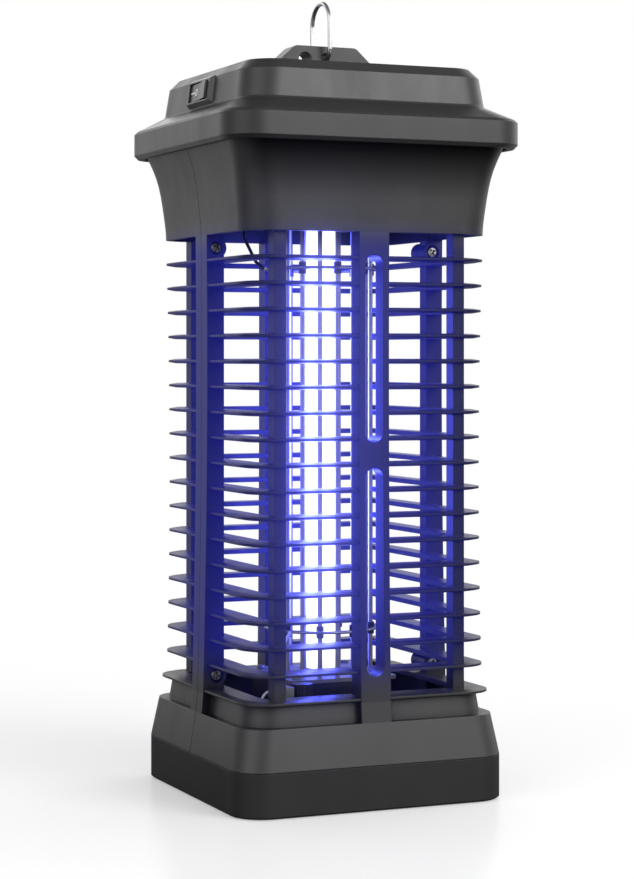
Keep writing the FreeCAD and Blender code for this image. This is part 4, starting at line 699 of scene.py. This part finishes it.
def build_stage():
    bm = bmesh.new()
    bmesh.ops.create_circle(bm, cap_ends=True, segments=96, radius=6.0)
    mesh = bpy.data.meshes.new("floor")
    bm.to_mesh(mesh)
    bm.free()
    mesh.materials.append(stage_material())
    floor = bpy.data.objects.new("floor", mesh)
    floor.location.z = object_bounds()[0].z
    bpy.context.scene.collection.objects.link(floor)
    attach(floor, "tray")    # the tray stays on the floor when the lantern is lifted off it
    shaded = bpy.data.collections.new("not_lit_by_tube")
    shaded.objects.link(floor)
    shaded.collection_objects[0].light_linking.link_state = "EXCLUDE"
    frame["nodes"]["lamp_tube"].light_linking.receiver_collection = shaded


def build_surroundings():
    """White to the camera; for lighting, a bright band above the horizon that varies round the object."""
    world = bpy.data.worlds.new("studio")
    bpy.context.scene.world = world
    world.use_nodes = True
    world.node_tree.nodes.clear()
    sky = Tree(world.node_tree, "Generated")
    x, y, z = sky.axes()
    bearing = sky.calc("ARCTAN2", x, sky.calc("MULTIPLY", y, -1.0))
    turn = sky.calc("SUBTRACT", bearing, PANEL_BEARING)
    panels = sky.calc("COSINE", sky.calc("MULTIPLY", turn, 4.0))
    ahead = sky.calc("COSINE", turn)
    round_about = sky.calc("MULTIPLY", sky.spread(panels, -1.0, 1.0, 0.34, 1.0),
                           sky.calc("MULTIPLY_ADD", ahead, 0.26, 0.74))
    under = sky.spread(ahead, -1.0, 1.0, 0.40, 0.08)
    rising = sky.spread(z, -0.02, 0.16, under, 1.0, smooth=True)
    falling = sky.spread(z, 0.45, 0.85, 1.0, 0.16, smooth=True)
    upright = sky.calc("MULTIPLY", rising, falling)
    strength = sky.calc("MULTIPLY", upright, sky.calc("MULTIPLY", round_about, 2.7))
    dome = sky.node("ShaderNodeBackground", {"Strength": strength})
    white = sky.node("ShaderNodeBackground", {"Strength": 1.0})
    for background in (dome, white):
        background.inputs["Color"].default_value = (1.0, 1.0, 1.0, 1.0)
    rays = sky.node("ShaderNodeLightPath")
    mixed = sky.mix_shaders(rays.outputs["Is Camera Ray"], dome, white)
    sky.tree.links.new(mixed.outputs[0], sky.node("ShaderNodeOutputWorld").inputs[0])


def softbox(name, azimuth, height, distance, width, tall, power, aim=0.19):
    """Area light at a bearing round the object, aimed at a height on its axis."""
    lamp = bpy.data.lights.new(name, "AREA")
    lamp.shape = "RECTANGLE"
    lamp.size, lamp.size_y, lamp.energy = width, tall, power
    turn = math.radians(azimuth)
    holder = bpy.data.objects.new(name, lamp)
    holder.location = (distance * math.sin(turn), -distance * math.cos(turn), height)
    look = Vector((0, 0, aim)) - holder.location
    holder.rotation_euler = look.to_track_quat("-Z", "Y").to_euler()
    holder.visible_camera = False
    bpy.context.scene.collection.objects.link(holder)


def build_camera():
    """Level camera to the left of the front, framed by shifting rather than tilting."""
    distance, height = 0.9874, 0.1841
    lens = bpy.data.cameras.new("camera")
    lens.lens = 94.61
    lens.shift_x, lens.shift_y = -0.00447, -0.09526
    lens.clip_start, lens.clip_end = 0.05, 50.0
    camera = bpy.data.objects.new("camera", lens)
    camera.location = (-distance * math.sin(CAMERA_BEARING), -distance * math.cos(CAMERA_BEARING),
                       height)
    camera.rotation_euler = (math.pi / 2, 0.0, -CAMERA_BEARING)
    bpy.context.scene.collection.objects.link(camera)
    bpy.context.scene.camera = camera


def build_glow():
    """Violet haze that the lit tube spreads in the lens."""
    scene = bpy.context.scene
    scene.use_nodes = True
    tree = scene.node_tree
    tree.nodes.clear()
    layers = tree.nodes.new("CompositorNodeRLayers")
    glare = tree.nodes.new("CompositorNodeGlare")
    glare.glare_type = "BLOOM"
    glare.quality = "HIGH"
    for key, value in (("Threshold", 1.30), ("Smoothness", 0.0), ("Strength", 1.10), ("Saturation", 1.0),
                       ("Size", 0.33), ("Tint", (0.34, 0.36, 1.0, 1.0))):
        glare.inputs[key].default_value = value
    output = tree.nodes.new("CompositorNodeComposite")
    tree.links.new(layers.outputs["Image"], glare.inputs["Image"])
    tree.links.new(glare.outputs["Image"], output.inputs["Image"])


build_stage()
build_surroundings()
build_glow()
softbox("key", 28.0, 0.72, 1.15, 0.70, 0.55, 4.0, aim=0.24)
softbox("back", 160.0, 0.70, 1.20, 0.80, 0.60, 2.0)
build_camera()
bpy.context.scene.view_settings.view_transform = "Standard"
bpy.context.scene.view_settings.look = "None"
